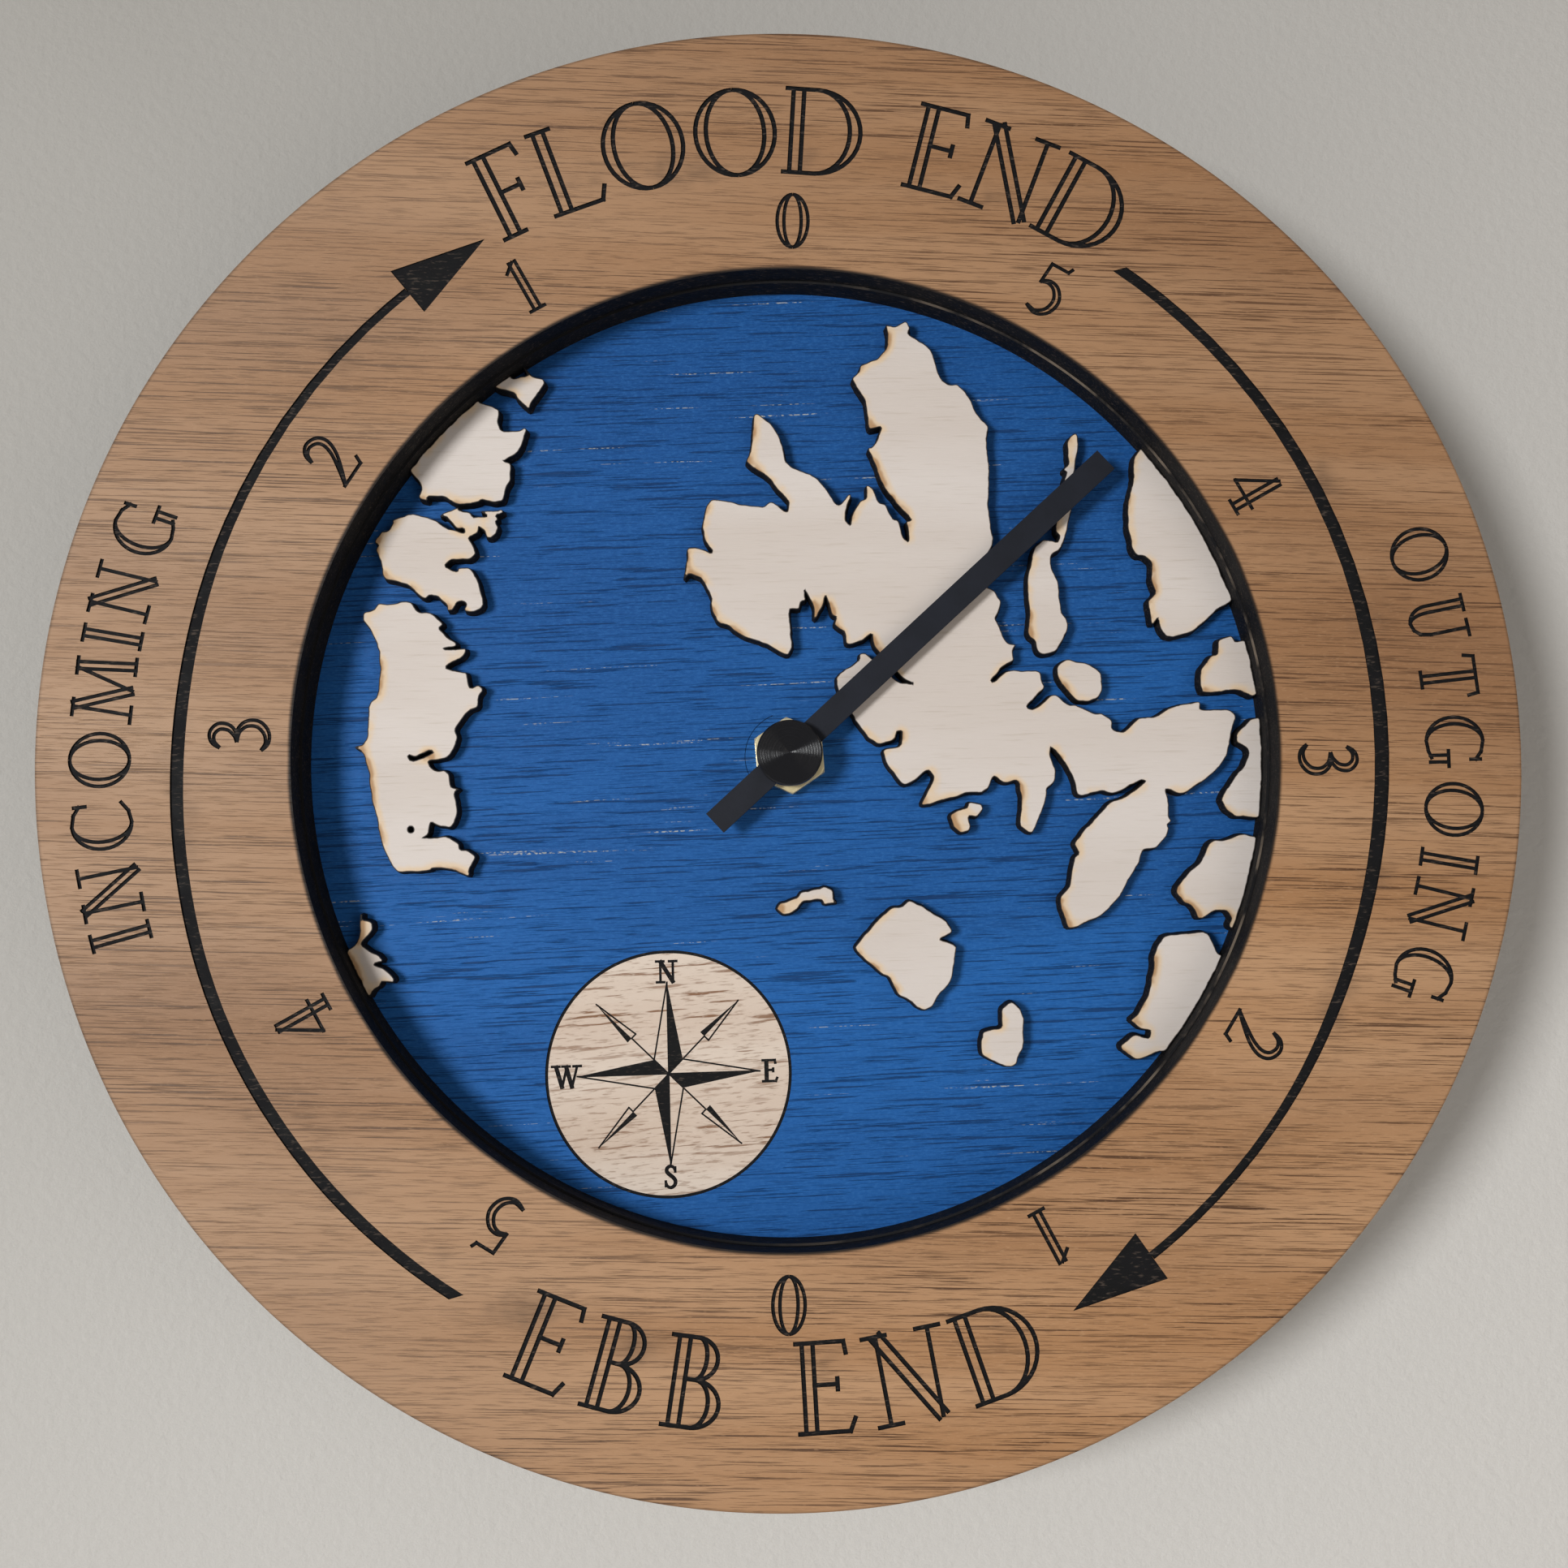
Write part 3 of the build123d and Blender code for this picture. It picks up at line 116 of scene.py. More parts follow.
# Letters in shares of the cap height: width, then strokes. A stem has two lines and serifs, a twin has two
# lines, a hair one, an oval is two lines that meet at top and bottom, and a swell two that meet at its ends.
GLYPH_SHARES = {
    "B": (0.70, (("stem", 0.14, 0.0, 1.0), ("hair", (0.14, 1.0), (0.30, 1.0)), ("hair", (0.20, 0.53), (0.32, 0.53)),
                 ("hair", (0.14, 0.0), (0.32, 0.0)), ("oval", (0.30, 0.765), (0.24, 0.235), -90, 90),
                 ("oval", (0.32, 0.265), (0.30, 0.265), -90, 90))),
    "C": (0.88, (("oval", (0.49, 0.5), (0.43, 0.51), 90, 270), ("hair", (0.49, 1.01), (0.68, 0.97), (0.82, 0.87)),
                 ("hair", (0.82, 0.95), (0.82, 0.76)), ("hair", (0.49, -0.01), (0.68, 0.03), (0.83, 0.14)))),
    "D": (0.92, (("stem", 0.14, 0.0, 1.0), ("hair", (0.14, 1.0), (0.36, 1.0)), ("hair", (0.14, 0.0), (0.36, 0.0)),
                 ("oval", (0.36, 0.5), (0.52, 0.5), -90, 90))),
    "E": (0.66, (("stem", 0.14, 0.0, 1.0), ("hair", (0.14, 1.0), (0.55, 1.0), (0.57, 0.87)),
                 ("hair", (0.20, 0.53), (0.46, 0.53)), ("hair", (0.46, 0.59), (0.46, 0.47)),
                 ("hair", (0.14, 0.0), (0.58, 0.0), (0.64, 0.14)))),
    "F": (0.62, (("stem", 0.14, 0.0, 1.0), ("hair", (0.14, 1.0), (0.54, 1.0), (0.56, 0.87)),
                 ("hair", (0.20, 0.52), (0.45, 0.52)), ("hair", (0.45, 0.58), (0.45, 0.46)))),
    "G": (0.94, (("oval", (0.49, 0.5), (0.43, 0.51), 90, 270), ("hair", (0.49, 1.01), (0.68, 0.97), (0.82, 0.87)),
                 ("hair", (0.82, 0.95), (0.82, 0.78)), ("hair", (0.49, -0.01), (0.66, 0.02), (0.78, 0.07)),
                 ("twin", (0.80, 0.05), (0.80, 0.38)), ("serif", (0.80, 0.38)))),
    "I": (0.30, (("stem", 0.15, 0.0, 1.0),)),
    "L": (0.66, (("stem", 0.14, 0.0, 1.0), ("hair", (0.14, 0.0), (0.58, 0.0), (0.65, 0.15)))),
    "M": (1.06, (("hair", (0.10, 0.0), (0.17, 1.0)), ("twin", (0.19, 1.0), (0.52, 0.02)),
                 ("hair", (0.52, 0.02), (0.86, 1.0)), ("twin", (0.89, 1.0), (0.94, 0.0)), ("serif", (0.10, 0.0)),
                 ("serif", (0.94, 0.0)), ("serif", (0.16, 1.0)), ("serif", (0.89, 1.0)))),
    "N": (0.88, (("hair", (0.14, 0.0), (0.14, 1.0)), ("twin", (0.14, 1.0), (0.74, 0.0)),
                 ("hair", (0.74, 0.0), (0.74, 1.0)), ("serif", (0.14, 0.0)), ("serif", (0.12, 1.0)),
                 ("serif", (0.74, 1.0)))),
    "O": (1.00, (("oval", (0.5, 0.5), (0.46, 0.51), 90, 270), ("oval", (0.5, 0.5), (0.46, 0.51), -90, 90))),
    "S": (0.60, (("swell", (0.50, 0.80), (0.42, 0.95), (0.27, 1.0), (0.13, 0.91), (0.11, 0.75), (0.24, 0.60),
                  (0.40, 0.47), (0.51, 0.30), (0.47, 0.10), (0.30, -0.01), (0.14, 0.05), (0.06, 0.22)),
                 ("hair", (0.51, 0.93), (0.51, 0.74)), ("hair", (0.05, 0.28), (0.05, 0.06)))),
    "T": (0.78, (("twin", (0.39, 0.98), (0.39, 0.0)), ("serif", (0.39, 0.0)),
                 ("hair", (0.03, 0.82), (0.06, 0.99), (0.72, 0.99), (0.75, 0.82)))),
    "U": (0.84, (("twin", (0.23, 1.0), (0.23, 0.32)), ("oval", (0.44, 0.32), (0.27, 0.33), 180, 270),
                 ("hair", (0.44, -0.01), (0.56, 0.03), (0.65, 0.13), (0.69, 0.32), (0.69, 1.0)),
                 ("serif", (0.23, 1.0)), ("serif", (0.69, 1.0)))),
    "W": (1.24, (("twin", (0.12, 1.0), (0.40, 0.0)), ("hair", (0.40, 0.0), (0.63, 0.94)),
                 ("twin", (0.60, 1.0), (0.87, 0.0)), ("hair", (0.87, 0.0), (1.13, 1.0)), ("serif", (0.11, 1.0)),
                 ("serif", (0.60, 1.0)), ("serif", (1.13, 1.0)))),
    "0": (0.66, (("oval", (0.33, 0.5), (0.29, 0.51), 90, 270), ("oval", (0.33, 0.5), (0.29, 0.51), -90, 90))),
    "1": (0.40, (("twin", (0.22, 1.0), (0.22, 0.0)), ("serif", (0.22, 0.0)), ("hair", (0.04, 0.84), (0.22, 1.0)))),
    "2": (0.66, (("swell", (0.08, 0.76), (0.15, 0.93), (0.30, 1.0), (0.47, 0.92), (0.52, 0.75), (0.44, 0.52),
                  (0.25, 0.25), (0.06, 0.02)), ("hair", (0.05, 0.02), (0.56, 0.02), (0.62, 0.15)))),
    "3": (0.62, (("swell", (0.09, 0.84), (0.20, 0.97), (0.36, 0.99), (0.48, 0.87), (0.46, 0.69), (0.33, 0.57),
                  (0.20, 0.54)), ("swell", (0.20, 0.54), (0.40, 0.52), (0.54, 0.38), (0.54, 0.17), (0.39, 0.02),
                                  (0.20, 0.0), (0.06, 0.10)))),
    "4": (0.66, (("hair", (0.45, 1.0), (0.03, 0.29), (0.64, 0.29)), ("twin", (0.46, 0.98), (0.46, 0.0)),
                 ("serif", (0.46, 0.0)))),
    "5": (0.62, (("hair", (0.54, 1.05), (0.50, 0.97), (0.15, 0.97), (0.12, 0.57)),
                 ("swell", (0.11, 0.57), (0.27, 0.63), (0.44, 0.57), (0.55, 0.37), (0.49, 0.13), (0.30, 0.0),
                  (0.08, 0.06)))),
}
WORD_SPACE_SHARE = 0.42
SWELL_SHARE = 0.85


# Node trees

def linear(code):
    """A linear colour from the hexadecimal code of a screen colour."""
    parts = [int(code[i:i + 2], 16) / 255 for i in (0, 2, 4)]
    return [p / 12.92 if p <= 0.04045 else ((p + 0.055) / 1.055) ** 2.4 for p in parts] + [1.0]


class Look:
    """A material under construction, which ends in a Principled shader."""

    def __init__(self, name):
        self.material = bpy.data.materials.new(name)
        self.material.use_nodes = True
        self.tree = self.material.node_tree
        self.shader = self.tree.nodes["Principled BSDF"]
        self.coords = self.tree.nodes.new("ShaderNodeTexCoord").outputs["Object"]

    def put(self, socket, value):
        if isinstance(value, bpy.types.NodeSocket):
            self.tree.links.new(value, socket)
        else:
            socket.default_value = value

    def node(self, kind, **inputs):
        made = self.tree.nodes.new("ShaderNode" + kind)
        for name, value in inputs.items():
            self.put(made.inputs[name], value)
        return made

    def grid(self, per_metre, tilt=0.0):
        """Object coordinates in units of the given counts per metre, turned in the dial's plane."""
        turned = self.node("Mapping", Vector=self.coords, Rotation=(0, radians(tilt), 0))
        return self.node("Mapping", Vector=turned.outputs[0], Scale=per_metre).outputs[0]

    def noise(self, vector, detail=2.0, rough=0.5, scale=1.0, warp=0.0):
        made = self.node("TexNoise", Vector=vector, Scale=scale, Detail=detail, Roughness=rough, Distortion=warp)
        return made.outputs[0]

    def between(self, value, low, high, start=0.0, end=1.0):
        """A smooth step of a value from one level to another."""
        made = self.node("MapRange")
        made.interpolation_type = "SMOOTHSTEP"
        for socket, number in zip(made.inputs, (value, low, high, start, end)):
            self.put(socket, number)
        return made.outputs[0]

    def math(self, operation, first, second=0.0):
        made = self.node("Math")
        made.operation = operation
        self.put(made.inputs[0], first)
        self.put(made.inputs[1], second)
        return made.outputs[0]

    def mix(self, factor, first, second):
        made = self.node("Mix")
        made.data_type = "RGBA"
        self.put(made.inputs[0], factor)
        self.put(made.inputs[6], first)
        self.put(made.inputs[7], second)
        return made.outputs[2]

    def attribute(self, name):
        made = self.node("Attribute")
        made.attribute_name = name
        return made.outputs["Fac"]

    def axes(self):
        made = self.node("SeparateXYZ", Vector=self.coords)
        return made.outputs[0], made.outputs[1], made.outputs[2]

    def radius(self):
        """Distance from the hand's axis, in metres."""
        x, _, z = self.axes()
        return self.math("SQRT", self.math("ADD", self.math("MULTIPLY", x, x), self.math("MULTIPLY", z, z)))

    def rounded(self, radius):
        """A normal that rounds off the edges."""
        return self.node("Bevel", Radius=radius).outputs[0]

    def bump(self, height, distance, normal=None):
        made = self.node("Bump", Height=height, Distance=distance)
        made.inputs["Strength"].default_value = 1.0
        if normal is not None:
            self.put(made.inputs["Normal"], normal)
        return made.outputs[0]

    def done(self, color, roughness, normal=None, **constants):
        self.put(self.shader.inputs["Base Color"], color)
        self.put(self.shader.inputs["Roughness"], roughness)
        if normal is not None:
            self.put(self.shader.inputs["Normal"], normal)
        for name, value in constants.items():
            self.shader.inputs[name.replace("_", " ")].default_value = value
        return self.material


# Wood

def grain(look, tilt, length, gap, seed):
    """Streaks along the grain: a value near 1 in the dark lines. Length and gap are in metres."""
    shift = look.node("Mapping", Vector=look.coords, Location=(seed, seed, seed), Rotation=(0, radians(tilt), 0))
    sway = look.noise(look.node("Mapping", Vector=shift.outputs[0], Scale=(14, 14, 60)).outputs[0], 1.0)
    lift = look.node("CombineXYZ", Z=look.math("MULTIPLY", look.math("SUBTRACT", sway, 0.5), 0.9 * gap))
    swayed = look.node("VectorMath")
    look.put(swayed.inputs[0], shift.outputs[0])
    look.put(swayed.inputs[1], lift.outputs[0])
    place = look.node("Mapping", Vector=swayed.outputs[0], Scale=(1 / length, 1 / gap, 1 / gap)).outputs[0]
    return look.noise(place, 3.0, 0.55)


def wood(name, colors, tilt, seed, streaks=1.0, length=0.026, gap=0.00036, rough=0.62):
    """Veneer: broad tonal bands, thin dark grain lines that crowd together in places, and pale flecks."""
    look = Look(name)
    pale, mid, dark, line = (linear(c) for c in colors)
    bands = look.noise(look.grid((4, 60, 60), tilt), 4.0, 0.55)
    tone = look.mix(look.between(bands, 0.32, 0.68), pale, mid)
    patches = look.noise(look.grid((7, 22, 22), tilt), 2.0, 0.5)
    tone = look.mix(look.between(patches, 0.45, 0.72, 0.0, 0.75), tone, dark)
    crowd = look.between(look.noise(look.grid((5, 90, 90), tilt), 3.0), 0.32, 0.62, 0.25, 1.0)
    lines = look.between(grain(look, tilt, length, gap, seed), 0.565, 0.645, 0.0, 0.95 * streaks)
    streak = look.math("MULTIPLY", lines, crowd)
    tone = look.mix(streak, tone, line)
    pores = look.between(grain(look, tilt, 0.25 * length, 0.55 * gap, seed + 3.7), 0.55, 0.68, 0.0, 0.5 * streaks)
    tone = look.mix(pores, tone, line)
    flecks = look.between(look.noise(look.grid((800, 2600, 2600), tilt), 1.0), 0.56, 0.76, 0.0, 0.36)
    tone = look.mix(flecks, tone, pale)
    fibre = look.noise(look.grid((260, 5200, 5200), tilt), 2.0)
    relief = look.math("SUBTRACT", look.math("MULTIPLY", fibre, 0.35), look.math("ADD", streak, pores))
    sheen = look.between(bands, 0.3, 0.7, rough - 0.06, rough + 0.08)
    return look, tone, sheen, look.bump(relief, 0.00006)


def plain_wood(*details):
    look, tone, sheen, normal = wood(*details)
    return look.done(tone, sheen, normal, Specular_IOR_Level=0.3)


def back_wood(name):
    """Bare plywood, browned along the rim that the laser cut."""
    look, tone, sheen, normal = wood(name, ("DCC3A0", "CDB08A", "BE9F78", "9A7B58"), 0.8, 1.9, 0.6)
    smoke = look.noise(look.grid((60, 60, 60)), 3.0, 0.6)
    waver = look.math("ADD", look.radius(), look.math("MULTIPLY", smoke, 2.0 * MM))
    tone = look.mix(look.between(waver, 147.8 * MM, 151.2 * MM, 0.0, 0.8), tone, linear("5E3F26"))
    return look.done(tone, sheen, normal, Specular_IOR_Level=0.3)


def ring_wood(name):
    """The ring's veneer, browned where the laser cut its edges and sooty beside the arrows, with painted light: greyer
    and cooler to the left as a painted sheen with painted shade, and darker to the upper right as painted shade.
    """
    look, tone, sheen, normal = wood(name, ("B88F6A", "A57952", "8C6341", "4A2D19"), -1.2, 0.7)
    across, _, up = look.axes()
    # Painted light: greyer and cooler towards the left, a painted cool sheen with painted shade
    tone = look.mix(look.between(across, 60 * MM, -150 * MM, 0.0, 0.42), tone, linear("8C7767"))
    # Painted shade: the ring is darker towards the upper right
    painted_shade_slope = look.math("ADD", up, look.math("MULTIPLY", across, 0.7))
    tone = look.mix(look.between(painted_shade_slope, 0.0, 150 * MM, 0.0, 0.36), tone, linear("75533A"))
    radius = look.radius()
    smoke = look.noise(look.grid((60, 60, 60)), 3.0, 0.6)
    beside_line = look.between(look.math("ABSOLUTE", look.math("SUBTRACT", radius, 122.5 * MM)), 1.0 * MM, 6.5 * MM, 1.0, 0.0)
    soot = look.math("MULTIPLY", beside_line, look.between(smoke, 0.50, 0.72, 0.0, 0.42))
    tone = look.mix(soot, tone, linear("4A3A2E"))
    waver = look.math("ADD", radius, look.math("MULTIPLY", smoke, 0.5 * MM))
    burnt = look.math("MAXIMUM", look.between(waver, 149.6 * MM, 150.3 * MM, 0.0, 0.45),
                      look.between(waver, 101.0 * MM, 100.2 * MM))
    tone = look.mix(burnt, tone, linear("21160E"))
    return look.done(tone, sheen, normal, Specular_IOR_Level=0.3)


def char(name):
    """Charred wood: soot with the grain's flecks showing through."""
    look = Look(name)
    soft = look.noise(look.grid((160, 260, 260)), 4.0, 0.6)
    tone = look.mix(look.between(soft, 0.35, 0.7), linear("070708"), linear("131214"))
    flecks = look.between(grain(look, 1.5, 0.0018, 0.0004, 5.0), 0.56, 0.72, 0.0, 0.6)
    tone = look.mix(flecks, tone, linear("564A41"))
    relief = look.noise(look.grid((900, 2400, 2400)), 3.0, 0.65)
    return look.done(tone, look.between(soft, 0.3, 0.7, 0.66, 0.86), look.bump(relief, 0.00008), Specular_IOR_Level=0.2)


def ledge_wood(name):
    """The spacer's narrow ledge: sooty, with bare stretches on its right side only, painted there as its lit side,
    while its left side is kept dark as painted shade.
    """
    look = Look(name)
    across, _, _ = look.axes()
    soft = look.noise(look.grid((70, 70, 70)), 4.0, 0.6)
    # Painted light: bare stretches show only towards the right, where the light falls; the left side stays sooty as
    # painted shade
    bare_where_lit = look.math("MULTIPLY", look.between(soft, 0.46, 0.64), look.between(across, -20 * MM, 75 * MM))
    tone = look.mix(bare_where_lit, linear("141315"), linear("75685B"))
    relief = look.noise(look.grid((900, 900, 900)), 3.0, 0.65)
    return look.done(tone, look.between(soft, 0.3, 0.7, 0.6, 0.8), look.bump(relief, 0.00005), Specular_IOR_Level=0.25)


def edge_wood(name):
    """The cut edge of the plywood: scorched brown, with the plies as faint bands across it."""
    look = Look(name)
    _, out, _ = look.axes()
    soft = look.noise(look.grid((120, 900, 120)), 3.0, 0.6)
    plies = look.math("SINE", look.math("MULTIPLY", out, 2 * pi / 0.002))
    tone = look.mix(look.between(plies, -0.2, 0.5), linear("2A1D14"), linear("3F2A1B"))
    tone = look.mix(look.between(soft, 0.42, 0.72), tone, linear("120E0C"))
    for joint in (face.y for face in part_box("spacer_ring")):
        apart = look.math("ABSOLUTE", look.math("SUBTRACT", out, joint))
        tone = look.mix(look.between(apart, 0.1 * MM, 0.35 * MM, 0.9, 0.0), tone, linear("070504"))
    return look.done(tone, look.between(soft, 0.3, 0.7, 0.62, 0.8), look.bump(soft, 0.00015), Specular_IOR_Level=0.3)


def dial_paint(name):
    """Blue paint on plywood: the grain shows as dark lines, and as pale dashes where the paint missed it. It is darker
    towards the top as painted shade.
    """
    look = Look(name)
    tilt = 2.6
    tones = look.noise(look.grid((7, 34, 34), tilt), 3.0, 0.55)
    tone = look.mix(look.between(tones, 0.32, 0.68), linear("185293"), linear("1E5EA4"))
    _, _, up = look.axes()
    # Painted shade: the paint is darker towards the top
    tone = look.mix(look.between(up, -70 * MM, 110 * MM, 0.0, 0.6), tone, linear("0F3F78"))
    mottle = look.noise(look.grid((900, 2200, 2200), tilt), 3.0, 0.7)
    tone = look.mix(look.between(mottle, 0.40, 0.75, 0.0, 0.38), tone, linear("3A76B8"))
    dark = look.between(grain(look, tilt, 0.016, 0.00040, 2.3), 0.575, 0.65, 0.0, 0.7)
    tone = look.mix(dark, tone, linear("0B2850"))
    fine = look.between(grain(look, tilt, 0.007, 0.00024, 8.1), 0.53, 0.68, 0.0, 0.4)
    tone = look.mix(fine, tone, linear("0F376C"))
    crack = look.between(grain(look, tilt, 0.045, 0.00070, 15.2), 0.69, 0.715, 0.0, 0.8)
    broken = look.between(look.noise(look.grid((1100, 1800, 1800)), 2.0), 0.46, 0.58)
    tone = look.mix(look.math("MULTIPLY", crack, broken), tone, linear("B0B2AC"))
    relief = look.math("SUBTRACT", look.math("MULTIPLY", mottle, 0.3), look.math("ADD", dark, fine))
    return look.done(tone, look.between(mottle, 0.3, 0.7, 0.5, 0.66), look.bump(relief, 0.0001), Specular_IOR_Level=0.16)


def land_wood(name):
    """Pale birch, charred along the laser-cut edge with an amber scorch behind it."""
    look = Look(name)
    bands = look.noise(look.grid((8, 45, 45), 1.0), 3.0)
    tone = look.mix(look.between(bands, 0.3, 0.7), linear("D5CBC4"), linear("CCC0B7"))
    lines = grain(look, 1.0, 0.012, 0.0005, 4.4)
    tone = look.mix(look.between(lines, 0.54, 0.74, 0.0, 0.30), tone, linear("A69580"))
    patch = look.noise(look.grid((110, 110, 110)), 3.0, 0.6)
    heat = look.math("MULTIPLY", look.attribute("scorch"), look.between(patch, 0.34, 0.66, 0.1, 1.5))
    tone = look.mix(look.between(heat, 0.15, 1.1, 0.0, 0.7), tone, linear("DCBE96"))
    tone = look.mix(look.between(heat, 1.0, 1.9, 0.0, 0.8), tone, linear("A4784A"))
    tone = look.mix(look.between(look.attribute("rim"), 0.20, 0.75), tone, linear("1B1410"))
    fibre = look.noise(look.grid((300, 4200, 4200), 1.0), 2.0)
    return look.done(tone, look.between(bands, 0.3, 0.7, 0.55, 0.68), look.bump(fibre, 0.00004), Specular_IOR_Level=0.3)


# Moulded, metal and other plain materials

def surface(name, first, second, rough, grain_size, relief, edge=0.0002, **constants):
    """A made surface: two close tones in a cloud, a roughness that follows it, fine relief and soft edges."""
    look = Look(name)
    cloud = look.noise(look.grid((120, 120, 120)), 3.0, 0.6)
    fine = look.noise(look.grid((1 / grain_size, 1 / grain_size, 1 / grain_size)), 3.0, 0.6)
    tone = look.mix(look.between(cloud, 0.3, 0.7), linear(first), linear(second))
    dull = look.between(fine, 0.25, 0.75, rough - 0.06, rough + 0.08)
    return look.done(tone, dull, look.bump(fine, relief, look.rounded(edge)), **constants)


def turned_black(name):
    """Black anodised metal with the marks of the lathe."""
    look = Look(name)
    radius = look.radius()
    marks = look.noise(look.node("CombineXYZ", X=look.math("MULTIPLY", radius, 5200)).outputs[0], 2.0, 0.7)
    tone = look.mix(look.between(marks, 0.3, 0.7), linear("0B0B0E"), linear("141418"))
    tangent = look.node("Tangent")
    tangent.direction_type = "RADIAL"
    tangent.axis = "Y"
    look.put(look.shader.inputs["Tangent"], tangent.outputs[0])
    return look.done(tone, look.between(marks, 0.3, 0.7, 0.16, 0.22), look.bump(marks, 0.00004),
                     Specular_IOR_Level=0.45, Anisotropic=1.0, Anisotropic_Rotation=0.25)


def battery_wrap(name):
    """A plain cell: dark sleeve with a copper band at the positive end, bare metal at both ends."""
    look = Look(name)
    along, _, _ = look.axes()
    scuff = look.noise(look.grid((200, 200, 200)), 3.0, 0.6)
    sleeve = look.mix(look.between(scuff, 0.3, 0.7), linear("1B1C1F"), linear("26272B"))
    band = look.between(along, BATTERY_BAND_X, BATTERY_BAND_X + 0.2 * MM)
    tone = look.mix(band, sleeve, linear("B5713F"))
    low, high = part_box("battery")
    rim = look.math("MAXIMUM", look.between(along, high.x - 2.0 * MM, high.x - 1.9 * MM),
                    look.between(along, low.x + 1.0 * MM, low.x + 0.9 * MM))
    tone = look.mix(rim, tone, linear("B9BABC"))
    look.put(look.shader.inputs["Metallic"], look.math("MAXIMUM", rim, look.math("MULTIPLY", band, 0.6)))
    return look.done(tone, look.between(scuff, 0.3, 0.7, 0.28, 0.42), look.bump(scuff, 0.00002))


def wound_wire(name):
    """Fine enamelled copper wire, turn beside turn."""
    look = Look(name)
    _, _, up = look.axes()
    turns = look.math("SINE", look.math("MULTIPLY", up, 2 * pi / (0.16 * MM)))
    cloud = look.noise(look.grid((500, 500, 900)), 2.0)
    tone = look.mix(look.between(cloud, 0.3, 0.7), linear("8C4A22"), linear("B4672F"))
    # Painted shade: darker in the grooves between the turns
    tone = look.mix(look.between(turns, -1.0, 0.2, 0.6, 0.0), tone, linear("4E2712"))
    return look.done(tone, look.between(cloud, 0.3, 0.7, 0.25, 0.4), look.bump(turns, 0.00003), Metallic=0.75)


BATTERY_BAND_X = 12.0 * MM
MATERIALS = {
    "ring_wood": ring_wood("ring_wood"),
    "char": char("charred_wood"),
    "ledge": ledge_wood("sooty_ledge"),
    "edge": edge_wood("scorched_edge"),
    "ply": back_wood("bare_plywood"),
    "dial_paint": dial_paint("blue_paint"),
    "compass_wood": plain_wood("compass_wood", ("D9C9BA", "CCB7A6", "C0A58E", "7E583C"), 4.5, 2.9, 1.0, 0.014, 0.0008),
    "land_wood": land_wood("birch"),
    "case_plastic": surface("case_plastic", "1A1A1C", "222225", 0.48, 0.0005, 0.00003, Specular_IOR_Level=0.45),
    "battery_can": battery_wrap("battery_sleeve"),
    "contact_metal": surface("nickel", "B8B6AE", "C9C7C0", 0.3, 0.0012, 0.00001, Metallic=1.0),
    "brass": surface("brass", "F0DEAC", "F8EBC6", 0.32, 0.0010, 0.00001, 0.0003, Metallic=0.6),
    "hanger_steel": surface("zinc_steel", "A4A7AA", "BFC2C4", 0.38, 0.0016, 0.00002, Metallic=1.0),
    "gasket_rubber": surface("rubber", "17171A", "202024", 0.78, 0.0004, 0.00004),
    "hand_black": surface("matt_black", "0F121B", "161923", 0.62, 0.0003, 0.00001, 0.0001, Specular_IOR_Level=0.27),
    "cap_black": turned_black("turned_black"),
    "tube_brass": surface("drawn_brass", "B4965A", "C7AB70", 0.3, 0.0008, 0.00001, 0.0001, Metallic=1.0),
    "gear_plastic": surface("acetal", "DAD8CE", "E4E2DA", 0.42, 0.0006, 0.00001, 0.00008, Subsurface_Weight=0.1),
    "knob_plastic": surface("knob_plastic", "3A3B3F", "46474B", 0.45, 0.0005, 0.00003),
    "magnet": surface("magnet", "3B3B3D", "4A4A4C", 0.5, 0.0004, 0.00003, 0.0001, Metallic=0.6),
    "stator_iron": surface("stator_iron", "7C7D7F", "919294", 0.42, 0.0012, 0.00002, 0.0001, Metallic=1.0),
    "bobbin_plastic": surface("bobbin_plastic", "C9B68E", "D3C29D", 0.5, 0.0005, 0.00002, 0.0001),
    "copper_wire": wound_wire("copper_wire"),
    "board": surface("phenolic_board", "7A5A30", "8A683B", 0.5, 0.0006, 0.00002, 0.0001),
    "chip_resin": surface("resin", "0B0B0C", "131315", 0.22, 0.0015, 0.00002, 0.0001),
    "crystal_can": surface("crystal_can", "B5B7BA", "C8CACC", 0.2, 0.0012, 0.00001, 0.0001, Metallic=1.0),
}


# Flat outlines

def bearing(radius, degrees):
    """A point at a radius and a bearing clockwise from the top."""
    angle = radians(degrees)
    return (radius * sin(angle), radius * cos(angle))


def circle(radius, centre=(0.0, 0.0), steps=CIRCLE_STEPS):
    turn = [2 * pi * k / steps for k in range(steps)]
    return [(centre[0] + radius * cos(a), centre[1] + radius * sin(a)) for a in turn]


def oval(centre, radii, start, end):
    """Points along part of an oval, counter-clockwise from one angle to another in degrees."""
    angles = [radians(start + (end - start) * k / HALF_OVAL_STEPS) for k in range(HALF_OVAL_STEPS + 1)]
    return [(centre[0] + radii[0] * cos(a), centre[1] + radii[1] * sin(a)) for a in angles]


def normals(path):
    """A unit normal to the left of each point of a path."""
    found = []
    for k in range(len(path)):
        before, after = path[max(k - 1, 0)], path[min(k + 1, len(path) - 1)]
        dx, dy = after[0] - before[0], after[1] - before[1]
        size = hypot(dx, dy)
        found.append((-dy / size, dx / size))
    return found


def beside(path, distances):
    """A path moved sideways, to its left, by a distance at each point."""
    return [(p[0] + n[0] * d, p[1] + n[1] * d) for p, n, d in zip(path, normals(path), distances)]


def stroke(path, width, end_width=None):
    """The outline of a line drawn along a path, whose width may change evenly to its end."""
    last = len(path) - 1
    end_width = width if end_width is None else end_width
    half = [(width + (end_width - width) * k / last) / 2 for k in range(last + 1)]
    return beside(path, half) + beside(path, [-h for h in half])[::-1]


